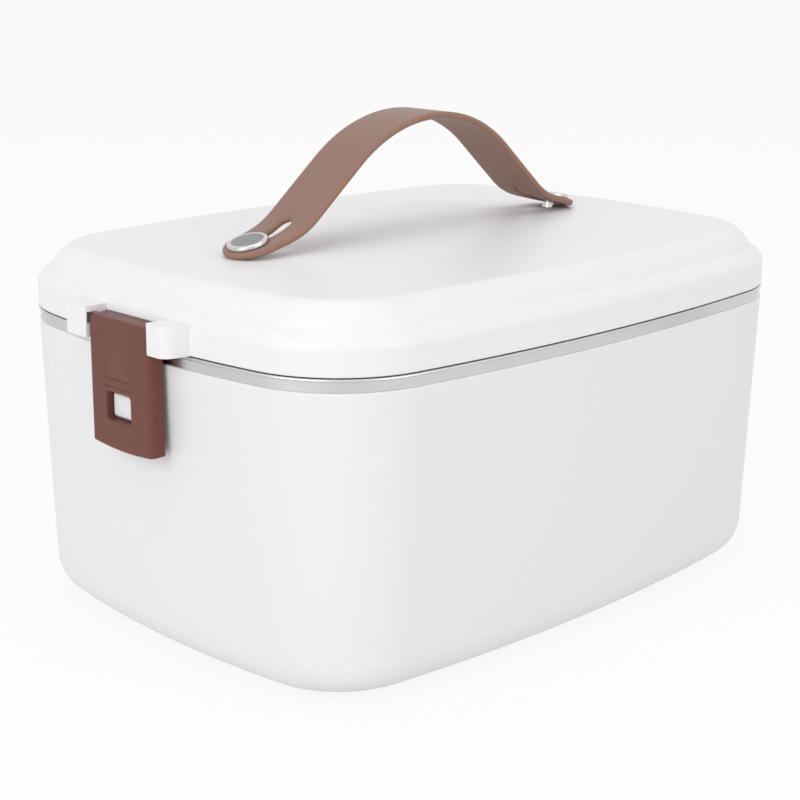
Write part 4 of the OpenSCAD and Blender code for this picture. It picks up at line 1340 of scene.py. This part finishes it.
@dataclass
class Lid:
    """Domed lid with hinge pockets and ears, its inner pan and its seal."""

    low_z: float = 100.5
    band_z: float = 112.8
    band_round: float = 5.2
    band_turn: float = 76.0
    dome_in: float = 4.7
    dome_h: float = 7.3
    dome_w: float = 7.6
    dome_power: float = 1.5
    crown: float = 1.4
    wall: float = 2.2
    last_in: float = 36.0
    crown_in: float = 24.0
    pan_top: float = 104.2
    ledge: float = 1.6
    foot_chamfer: float = 0.5
    ear_in: float = 15.1
    ear_w: tuple[float, float] = (8.0, 10.8)
    ear_splay: float = 0.4
    ear_front: float = 123.4
    ear_top: float = 110.0
    ear_round: tuple[float, float] = (3.0, 1.6)
    ear_fillet: float = 1.3
    ear_soft: float = 1.7
    ear_edge: float = 0.4
    ear_root: float = 4.0
    ear_free: float = 3.0
    ear_sunk: float = 0.25
    barrel_r: float = 4.0
    pocket_gap: float = 0.4
    pocket_reach: float = 12.0
    cut_past: float = 1.0
    pocket_wall: float = 1.4
    bore_r: float = 2.05
    bore_reach: float = 18.3
    stub_slot: tuple[float, float, float] = (122.75, 104.6, 108.2)
    stub_slot_d: float = 5.0

    @property
    def apex_z(self) -> float:
        """Height of the top's middle."""
        return self.band_z + self.dome_h + self.crown

    @property
    def top_half(self) -> float:
        """Half length of the nearly flat top."""
        return OUTLINE.length / 2 - self.dome_in - self.dome_w

    def crown_z(self, share: float) -> float:
        """Height of the crowned top at a share of its half length."""
        return self.apex_z - self.crown * share ** 2

    def dome(self, degrees: float, inward: float) -> Level:
        """Point on the dome's rounded side.

        Args:
            degrees: 0 at its foot and 90 at the top.
            inward: distance inside the outer face.

        Returns:
            The level.
        """
        a = math.radians(degrees)
        power = 2 / self.dome_power
        rise = self.dome_h * abs(math.sin(a)) ** power
        run = self.dome_w * (1 - abs(math.cos(a)) ** power)
        return Level(self.band_z - inward + rise, self.dome_in + inward + run)

    def section(self) -> list[Level]:
        """Section from the ceiling's middle, down inside, and up outside to the top.

        Returns:
            The levels.
        """
        full = (OUTLINE.length / 2 - self.last_in) / self.top_half
        ceiling = self.crown_z(full) - self.wall
        shares = (0.03, 0.2, 0.4, 0.6, 0.8)
        inner = [Level(ceiling, self.last_in, s) for s in shares]
        outer = [Level(self.crown_z(full * s), self.last_in, s) for s in reversed(shares)]
        sides = divided([
            Level(ceiling, self.last_in),
            *[self.dome(a, self.wall) for a in (90, 68, 48, 28, 10, 0)],
            Level(self.band_z - self.band_round, self.wall),
            Level(self.pan_top + self.ledge, self.wall),
            Level(self.pan_top, self.wall + self.ledge),
            Level(self.pan_top, self.wall),
            Level(self.low_z, self.wall),
            Level(self.low_z, self.foot_chamfer),
            *bend(self.low_z + self.foot_chamfer, self.foot_chamfer, self.foot_chamfer, -80, 0, 3),
            *bend(self.band_z - self.band_round, self.band_round, self.band_round, 0, self.band_turn, 9),
            *[self.dome(a, 0.0) for a in (8, 16, 24, 32, 40, 48, 56, 64, 72, 81, 90)],
            Level(self.crown_z((OUTLINE.length / 2 - self.crown_in) / self.top_half), self.crown_in),
            Level(self.crown_z(full), self.last_in),
        ])
        return inner + sides + outer

    def ear(self, end: End, side: int) -> bpy.types.Object:
        """Ear beside a latch, with a fillet to the band.

        Args:
            end: the end it stands on.
            side: its side of the latch, -1 or 1.

        Returns:
            The object.
        """
        which = 0 if side < 0 else 1
        outer = self.ear_in + self.ear_w[which]
        root = outer + self.ear_splay
        wing = root + self.ear_fillet
        back = OUTLINE.end_x(outer) - self.ear_root
        plan = [(back, self.ear_in), (self.ear_front, self.ear_in), (self.ear_front, outer),
                (OUTLINE.end_x(root), root), (OUTLINE.end_x(wing, self.ear_sunk), wing), (back, wing)]
        bm = bmesh.new()
        prism(bm, [bm.verts.new((x, y, self.low_z)) for x, y in plan], (0.0, 0.0, self.ear_top - self.low_z))
        bmesh.ops.recalc_face_normals(bm, faces=bm.faces)
        for spot, radius, steps in ((plan[2], self.ear_round[which], 10), (plan[3], self.ear_fillet, 6),
                                    (plan[1], self.ear_edge, 3)):
            upright = [e for e in bm.edges if all(math.dist(v.co.xy, spot) < NEAR for v in e.verts)]
            round_edges(bm, upright, radius, steps)
        front = back + self.ear_free
        for z, radius, steps in ((self.ear_top, self.ear_soft, 6), (self.low_z, self.ear_edge, 3)):
            level = [e for e in bm.edges if all(abs(v.co.z - z) < TOUCH and v.co.x > front for v in e.verts)]
            round_edges(bm, turned(level), radius, steps)
        return finish_mesh(mirrored(bm, end, side), f"ear_{end.name.lower()}_{side}")

    def pocket(self, end: End) -> bpy.types.Object:
        """Shape of the hinge pocket at one end.

        Args:
            end: the end.

        Returns:
            The cutter.
        """
        x, z = PIVOT
        r = self.barrel_r + self.pocket_gap
        low, front = self.low_z - self.cut_past, x + self.pocket_reach
        bm = bmesh.new()
        path = [bm.verts.new(spot) for spot in ((front, 0.0, low), (front, 0.0, z), (x + r, 0.0, z))]
        path.append(arc(bm, path[-1], (x, 0.0, z), (0.0, -1.0, 0.0), math.pi, 24))
        path.append(bm.verts.new((x - r, 0.0, low)))
        for pair in ((path[0], path[1]), (path[1], path[2]), (path[3], path[4]), (path[4], path[0])):
            bm.edges.new(pair)
        laid(bm, at(0.0, -self.ear_in, 0.0))
        prism(bm, list(bm.edges), (0.0, 2 * self.ear_in, 0.0))
        return finish_mesh(mirrored(bm, end), "pocket")

    def bore(self, end: End) -> bpy.types.Object:
        """Shape of the bore for a latch's stubs at one end.

        Args:
            end: the end.

        Returns:
            The cutter.
        """
        reach = self.bore_reach
        bm = spun([(0.0, -reach), (self.bore_r, -reach), (self.bore_r, reach), (0.0, reach)], 40)
        return finish_mesh(hinged(bm, end), "bore")

    def slot(self, end: End, side: int) -> bpy.types.Object:
        """Shape of the slot in an ear through which a latch's stub goes in.

        Args:
            end: the end.
            side: the ear's side of the latch, -1 or 1.

        Returns:
            The cutter.
        """
        front, low, high = self.stub_slot
        near, far = self.ear_in - self.cut_past, self.ear_in + self.stub_slot_d
        return finish_mesh(mirrored(box((PIVOT[0], near, low), (front, far, high)), end, side), "slot")

    def pocket_back(self, end: End) -> bpy.types.Object:
        """Wall behind a hinge pocket.

        Args:
            end: the end.

        Returns:
            The object.
        """
        back = PIVOT[0] - self.barrel_r - self.pocket_gap
        side = self.ear_in + self.pocket_wall
        bm = box((back - self.pocket_wall, -side, self.low_z), (back, side, self.ear_top))
        return finish_mesh(mirrored(bm, end), "pocket_back")

    def build(self) -> None:
        """Builds and dresses the lid."""
        shell = OUTLINE.sweep("lid_cover", self.section(), False)
        carve(shell, [self.pocket(end) for end in End])
        added = []
        for end in End:
            for side in (-1, 1):
                ear = self.ear(end, side)
                carve(ear, [self.bore(end), self.slot(end, side)])
                added.append(ear)
            added.append(self.pocket_back(end))
        join(shell, added)
        crisp(shell)
        publish(shell, Body.LID, Slot.SHELL, LID_WHITE, "lid_shell")
        for node, slot, finish in (("inner_lid", Slot.WELL, PALE), ("lid_seal", Slot.SEAL, SEAL_RUBBER),
                                   ("stud_washers", Slot.SCREW, SCREW_STEEL),
                                   ("stud_screws", Slot.SCREW, SCREW_STEEL)):
            smooth_copy(node, Body.LID, slot, finish)


# ------------------------------------------------------------------------- strap


@dataclass
class Strap:
    """Arched carrying strap with a slot at each end, and its two studs."""

    width: float = 19.8
    swell: float = 0.09
    swell_x: tuple[float, float] = (54.0, 68.0)
    drift: float = 1.5
    drift_x: float = 62.0
    thick: float = 2.2
    stud_x: float = 71.7
    stud_z: float = 123.6
    rise: float = 36.2
    arch_r: float = 53.0
    flank: float = 40.6
    turn_r: float = 30.0
    tilt: float = 14.5
    tip_x: float = 79.5
    slot_w: float = 4.4
    slot_l: float = 14.7
    head_r: float = 6.7
    head_t: float = 1.3
    head_gap: float = 0.1
    stem_r: float = 2.1
    stem_low: float = 8.0
    chamfer: float = 0.2
    head_rim: tuple[tuple[float, float], ...] = ((0.0, 0.5), (0.1, 0.3), (0.45, 0.05), (0.6, 0.0),
                                                 (0.8, 0.0), (1.0, 0.05))
    edge_r: float = 0.9
    rows: int = 16
    steps: tuple[int, int, int, int] = (12, 10, 8, 36)
    skew: float = 4.5

    def __post_init__(self) -> None:
        """Works out the centres of the strap's bends from its straight stretches."""
        flank, tilt = math.radians(self.flank), math.radians(self.tilt)
        self.arch_z = self.stud_z + self.rise - self.arch_r
        flank_n = Vector((math.sin(flank), math.cos(flank)))
        end_n = Vector((math.sin(tilt), math.cos(tilt)))
        flank_d = flank_n.dot(Vector((0.0, self.arch_z)) + self.arch_r * flank_n) + self.turn_r
        end_d = end_n.dot(Vector((self.stud_x, self.stud_z))) + self.turn_r
        den = flank_n.x * end_n.y - flank_n.y * end_n.x
        across = Vector((flank_d * end_n.y - end_d * flank_n.y, end_d * flank_n.x - flank_d * end_n.x))
        self.turn_c = across / den
        self.flank_high = self.arch_r * math.sin(flank)
        self.flank_low = self.turn_c.x - self.turn_r * math.sin(flank)
        self.end_high = self.turn_c.x - self.turn_r * math.sin(tilt)

    def height(self, x: float) -> float:
        """Height of the strap's middle at a distance from the box's middle.

        Args:
            x: the distance, not below 0.

        Returns:
            The height.
        """
        if x <= self.flank_high:
            return self.arch_z + math.sqrt(self.arch_r ** 2 - x ** 2)
        if x <= self.flank_low:
            top = self.arch_z + self.arch_r * math.cos(math.radians(self.flank))
            return top - (x - self.flank_high) * math.tan(math.radians(self.flank))
        if x <= self.end_high:
            return self.turn_c.y - math.sqrt(self.turn_r ** 2 - (self.turn_c.x - x) ** 2)
        return self.stud_z - (x - self.stud_x) * math.tan(math.radians(self.tilt))

    def rungs(self) -> list[tuple[Vector, Vector]]:
        """Lines across the flat strap, from its tip round the slot and on to the middle.

        Returns:
            Pairs of an inner and an outer point in plan.
        """
        half, slot = self.width / 2, self.slot_w / 2
        round_x = self.tip_x - half
        near, far = self.stud_x, self.stud_x - self.slot_l
        tip, side, inner_end, middle = self.steps
        pairs = []
        for i in range(tip + 1):
            a = math.radians(90.0 * i / tip)
            out = Vector((math.cos(a), math.sin(a)))
            pairs.append((Vector((near, 0.0)) + slot * out, Vector((round_x, 0.0)) + half * out))
        for i in range(1, side + 1):
            t = i / side
            inner = Vector((near + (far - near) * t, slot))
            pairs.append((inner, Vector((round_x + (far - round_x) * t, half))))
        for i in range(1, inner_end + 1):
            a = math.radians(90.0 + 90.0 * i / inner_end)
            inner = Vector((far, 0.0)) + slot * Vector((math.cos(a), math.sin(a)))
            pairs.append((inner, Vector((far - self.skew * i / inner_end, half))))
        last_in, last_out = pairs[-1][0].x, pairs[-1][1].x
        for i in range(1, middle + 1):
            t = 1 - i / middle
            pairs.append((Vector((last_in * t, 0.0)), Vector((last_out * t, half))))
        return pairs

    def from_rim(self, x: float, y: float) -> float:
        """Distance in plan from the nearest rim, of the outline or of the slot.

        Args:
            x: distance from the box's middle.
            y: distance from the strap's centre line.

        Returns:
            The distance.
        """
        half = self.width / 2
        outer = half - math.hypot(max(0.0, x - (self.tip_x - half)), y)
        beside = min(max(x, self.stud_x - self.slot_l), self.stud_x)
        slot = math.hypot(x - beside, y) - self.slot_w / 2
        return max(0.0, min(outer, slot))

    def bent(self, x: float, y: float, side: int) -> Vector:
        """Point on the strap's upper or under face, which both round off at the rims.

        Args:
            x: distance from the box's middle.
            y: distance from the strap's centre line.
            side: 1 for the upper face and -1 for the under face.

        Returns:
            The point.
        """
        step = 0.02
        low = max(0.0, x - step)
        out = Vector((self.height(low) - self.height(x + step), 0.0, x + step - low)).normalized()
        if x == 0.0:
            out = Vector((0.0, 0.0, 1.0))
        short = max(0.0, 1.0 - self.from_rim(x, y) / self.edge_r)
        lift = out * side * self.thick / 2 * math.sqrt(1.0 - short ** 2)
        return Vector((x, y, self.height(x))) + lift

    def cover(self) -> bpy.types.Object:
        """Bends the flat strap along its arch, a little wider and off centre between the studs.

        Returns:
            The object, whose surface map has the distance from the rim across.
        """
        pairs = self.rungs()
        columns = len(pairs) - 1
        bm = bmesh.new()
        names = ("plan_x", "rim")
        plan_x, rim = (bm.verts.layers.float.new(name) for name in names)
        for side in (1, -1):
            grid = bmesh.ops.create_grid(bm, x_segments=columns, y_segments=self.rows, size=0.5)
            for vert in grid["verts"]:
                inner, outer = pairs[round((vert.co.x + 0.5) * columns)]
                spot = inner.lerp(outer, 0.5 - 0.5 * math.cos(math.pi * (vert.co.y + 0.5)))
                vert[plan_x], vert[rim] = spot.x, self.from_rim(*spot)
                vert.co = self.bent(*spot, side)
        for axis in ("Y", "X"):
            geom = list(bm.verts) + list(bm.edges) + list(bm.faces)
            bmesh.ops.mirror(bm, geom=geom, matrix=Matrix(), merge_dist=TOUCH, axis=axis)
        bmesh.ops.remove_doubles(bm, verts=bm.verts, dist=TOUCH)
        inner, outer = self.swell_x
        for vert in bm.verts:
            share = min(1.0, max(0.0, (outer - abs(vert.co.x)) / (outer - inner)))
            vert.co.y *= 1.0 + self.swell * share * share * (3.0 - 2.0 * share)
            vert.co.x += self.drift * max(0.0, 1.0 - (vert.co.x / self.drift_x) ** 2) ** 2
        mapping = bm.loops.layers.uv.new("surface")
        for face in bm.faces:
            for loop in face.loops:
                loop[mapping].uv = (loop.vert[plan_x] * MM, loop.vert[rim] * MM)
        for name in names:
            bm.verts.layers.float.remove(bm.verts.layers.float[name])
        return finish_mesh(bm, "strap_cover")

    def stud(self, end: End) -> bpy.types.Object:
        """Turned stud with a bevelled, slightly dished head.

        Args:
            end: the end of the strap it holds.

        Returns:
            The object.
        """
        low = self.thick / 2 + self.head_gap
        high = low + self.head_t
        r, stem, foot, edge = self.head_r, self.stem_r, -self.stem_low, self.chamfer
        rim = [(r - inward, high - down) for inward, down in self.head_rim]
        dish = [(r * 0.6, high - 0.07), (r * 0.3, high - 0.08), (0.0, high - 0.08)]
        profile = [(0.0, foot), (stem - edge, foot), (stem, foot + edge), (stem, low), (r - edge, low),
                   (r, low + edge), *rim, *dish]
        place = at(self.stud_x, 0.0, self.stud_z) @ about("Y", self.tilt)
        return finish_mesh(mirrored(laid(spun(profile, 96), place), end), f"{end.name.lower()}_stud_turned")

    def build(self) -> None:
        """Builds and dresses the strap and its studs."""
        publish(self.cover(), Body.LID, Slot.STRAP, STRAP, "handle_strap")
        for end in End:
            publish(self.stud(end), Body.LID, Slot.STUD, STUD_STEEL, f"{end.name.lower()}_stud")


# ----------------------------------------------------------------------- latches


@dataclass
class Latch:
    """Brown latch that hangs from the lid and hooks over a catch."""

    front: float = 122.3
    back: float = 117.0
    plate: float = 3.0
    width: float = 29.6
    low_z: float = 67.5
    top_z: float = 108.05
    top_r: float = 1.2
    heel: tuple[float, float, float] = (115.9, 103.6, 102.0)
    stub_r: float = 2.0
    stub_reach: float = 18.0
    side_t: float = 2.4
    sag: float = 0.9
    window: tuple[float, float, float] = (12.0, 8.8, 1.3)
    window_y: float = 1.2
    window_z: float = 81.0
    lines: tuple[float, ...] = (1.5, 4.0)
    line: tuple[float, float] = (0.4, 0.15)
    line_w: float = 12.4
    edge_r: float = 0.7
    soft_r: float = 1.7
    slices: int = 16
    hollow_top: float = 5.0
    hollow_r: float = 0.6
    mouth: tuple[tuple[float, float], ...] = ((-0.35, 0.0), (-0.1, 0.12), (0.02, 0.4), (1.0, 0.4))
    cut_past: float = 1.0
    pin_edge: float = 0.3

    def body(self) -> bpy.types.Object:
        """Rounded body with a bowed lower edge.

        Returns:
            The object, at the right end.
        """
        heel_x, heel_z, heel_low = self.heel
        half = self.width / 2
        path = [(self.back, self.low_z), (self.front, self.low_z), (self.front, self.top_z),
                (heel_x, self.top_z), (heel_x, heel_z), (self.back, heel_low)]
        bm = bmesh.new()
        verts = [bm.verts.new((x, -half, z)) for x, z in path]
        prism(bm, [bm.edges.new(pair) for pair in zip(verts, verts[1:] + verts[:1])], (0.0, self.width, 0.0))
        bmesh.ops.recalc_face_normals(bm, faces=bm.faces)
        near = [e for e in bm.edges if all(v.co.x > self.front - TOUCH and v.co.y < 0.0 for v in e.verts)]
        round_edges(bm, near, self.soft_r, 6)
        rim = [e for e in bm.edges if all(v.co.z > self.top_z - TOUCH for v in e.verts)]
        round_edges(bm, turned(rim), self.top_r, 6)
        across = [e for e in bm.edges if abs(e.verts[0].co.y - e.verts[1].co.y) > half]
        bmesh.ops.subdivide_edges(bm, edges=across, cuts=self.slices - 1, use_grid_fill=True)
        for vert in bm.verts:
            if vert.co.z < self.low_z + NEAR:
                vert.co.z += self.sag * (vert.co.y / half) ** 2
        round_edges(bm, turned(bm.edges, 35.0), self.edge_r, 4)
        return finish_mesh(bm, "latch")

    def cutters(self) -> list[bpy.types.Object]:
        """Shapes of the hollow back, the window with its softened mouth, and two fine lines.

        Returns:
            The cutters, at the right end.
        """
        half = self.width / 2 - self.side_t
        plate_back = self.front - self.plate
        hollow = box((self.back - 2.0 * self.cut_past, -half, self.low_z + self.side_t),
                     (plate_back, half, PIVOT[1] - self.hollow_top))
        inside = [e for e in hollow.edges if min(v.co.x for v in e.verts) > self.back]
        round_edges(hollow, inside, self.hollow_r, 3)
        steps = [(-1.5 * self.cut_past, 0.0)] + [(self.plate + z, grow) for z, grow in self.mouth]
        along_x = Matrix(((0, 0, 1, 0), (1, 0, 0, 0), (0, 1, 0, 0), (0, 0, 0, 1)))
        window = laid(rounded_bar(*self.window, steps), at(plate_back, self.window_y, self.window_z), along_x)
        left, right = self.window_y - self.line_w / 2, self.window_y + self.line_w / 2
        thin, deep = self.line
        lows = [self.window_z + self.window[1] / 2 + above for above in self.lines]
        lines = [box((self.front - deep, left, low), (self.front + self.cut_past, right, low + thin))
                 for low in lows]
        return [finish_mesh(bm, "cutter") for bm in (hollow, window, *lines)]

    def build(self, end: End) -> None:
        """Builds and dresses the latch at one end.

        Args:
            end: the end.
        """
        obj = self.body()
        carve(obj, self.cutters())
        if end is End.LEFT:
            bm = bmesh.new()
            bm.from_mesh(obj.data)
            bmesh.ops.scale(bm, vec=(-1.0, 1.0, 1.0), verts=bm.verts)
            bmesh.ops.reverse_faces(bm, faces=bm.faces)
            bm.to_mesh(obj.data)
            bm.free()
            smooth(obj)
        side = end.name.lower()
        obj.name = f"{side}_latch_moulded"
        crisp(obj)
        body = Body[f"LATCH_{end.name}"]
        publish(obj, body, Slot.LATCH, BROWN, f"{side}_latch")
        reach, r, edge = self.stub_reach, self.stub_r, self.pin_edge
        pin = spun([(0.0, -reach), (r - edge, -reach), (r, -reach + edge), (r, reach - edge),
                    (r - edge, reach), (0.0, reach)], 40)
        publish(finish_mesh(hinged(pin, end), f"{side}_latch_pin"), body, Slot.PIN, PIN_STEEL)


# ------------------------------------------------------------------------ studio


@dataclass
class Lamp:
    """A square soft light that faces the box."""

    name: str
    place: tuple[float, float, float]
    size: float
    watts: float
    target: tuple[float, float, float] = (0.0, 0.0, 0.06)

    def build(self) -> None:
        """Adds the lamp."""
        data = bpy.data.lights.new(self.name, "AREA")
        data.shape = "SQUARE"
        data.size = self.size
        data.energy = self.watts
        obj = linked(self.name, data)
        aim = Vector(self.target) - Vector(self.place)
        obj.location = self.place
        obj.rotation_euler = aim.to_track_quat("-Z", "Y").to_euler()


@dataclass
class Studio:
    """Camera, lamps, pale floor and white surroundings."""

    azimuth: float = -43.475
    elevation: float = 15.386
    roll: float = 0.074
    distance: float = 601.908
    side_shift: float = -17.595
    up_shift: float = 12.725
    focal_pixels: float = 1717.129
    centre_pixels: tuple[float, float] = (-40.646, -3.579)
    frame_pixels: float = 800.0
    sensor: float = 36.0
    middle_z: float = 48.715
    world_light: float = 0.62
    floor_size: float = 12.0
    lamps: list[Lamp] = field(default_factory=lambda: [
        Lamp("key", (-1.9, -0.4, 0.75), size=1.5, watts=15.0),
        Lamp("front", (0.3, -2.0, 0.9), size=1.3, watts=9.0),
        Lamp("top", (0.0, 0.1, 1.9), size=1.6, watts=7.0),
    ])

    def camera(self) -> None:
        """Adds the camera at the photograph's angle."""
        a, e, r = (math.radians(v) for v in (self.azimuth, self.elevation, self.roll))
        back = Vector((math.sin(a) * math.cos(e), -math.cos(a) * math.cos(e), math.sin(e)))
        right = Vector((math.cos(a), math.sin(a), 0.0))
        up = back.cross(right)
        right, up = right * math.cos(r) + up * math.sin(r), up * math.cos(r) - right * math.sin(r)
        spot = Vector((0.0, 0.0, self.middle_z)) + back * self.distance + right * self.side_shift
        spot += up * self.up_shift
        data = bpy.data.cameras.new("camera")
        data.sensor_width = self.sensor
        data.lens = self.focal_pixels / self.frame_pixels * self.sensor
        data.shift_x = -self.centre_pixels[0] / self.frame_pixels
        data.shift_y = self.centre_pixels[1] / self.frame_pixels
        data.clip_start = 0.01
        obj = linked("camera", data)
        turn = Matrix((right, up, back)).transposed().to_4x4()
        obj.matrix_world = Matrix.Translation(spot * MM) @ turn
        bpy.context.scene.camera = obj

    def surroundings(self) -> None:
        """Adds the floor and the world."""
        bm = bmesh.new()
        bmesh.ops.create_grid(bm, x_segments=1, y_segments=1, size=self.floor_size / 2)
        floor = stored(bm, "floor")
        floor.data.materials.append(StudioFloor("pale studio floor").material())
        world = bpy.data.worlds.new("studio")
        world.use_nodes = True
        graph = Graph(world.node_tree)
        soft = graph.node("ShaderNodeBackground", {}, {"Color": WHITE_LIGHT, "Strength": self.world_light})
        seen = graph.node("ShaderNodeBackground", {}, {"Color": WHITE_LIGHT, "Strength": 1.0})
        both = graph.node("ShaderNodeMixShader", {}, {0: seen_directly(graph), 1: soft, 2: seen})
        graph.node("ShaderNodeOutputWorld", {}, {"Surface": both})
        bpy.context.scene.world = world

    def build(self) -> None:
        """Sets up the whole studio."""
        self.camera()
        self.surroundings()
        for lamp in self.lamps:
            lamp.build()
        bpy.context.scene.view_settings.view_transform = "Standard"


def main() -> None:
    """Builds the box, piece by piece, and its studio."""
    logging.basicConfig(level=logging.INFO, format="%(name)s %(message)s")
    Studio().build()
    Housing().build()
    Container().build()
    Lid().build()
    Strap().build()
    for end in End:
        Latch().build(end)


if __name__ == "__main__":
    main()
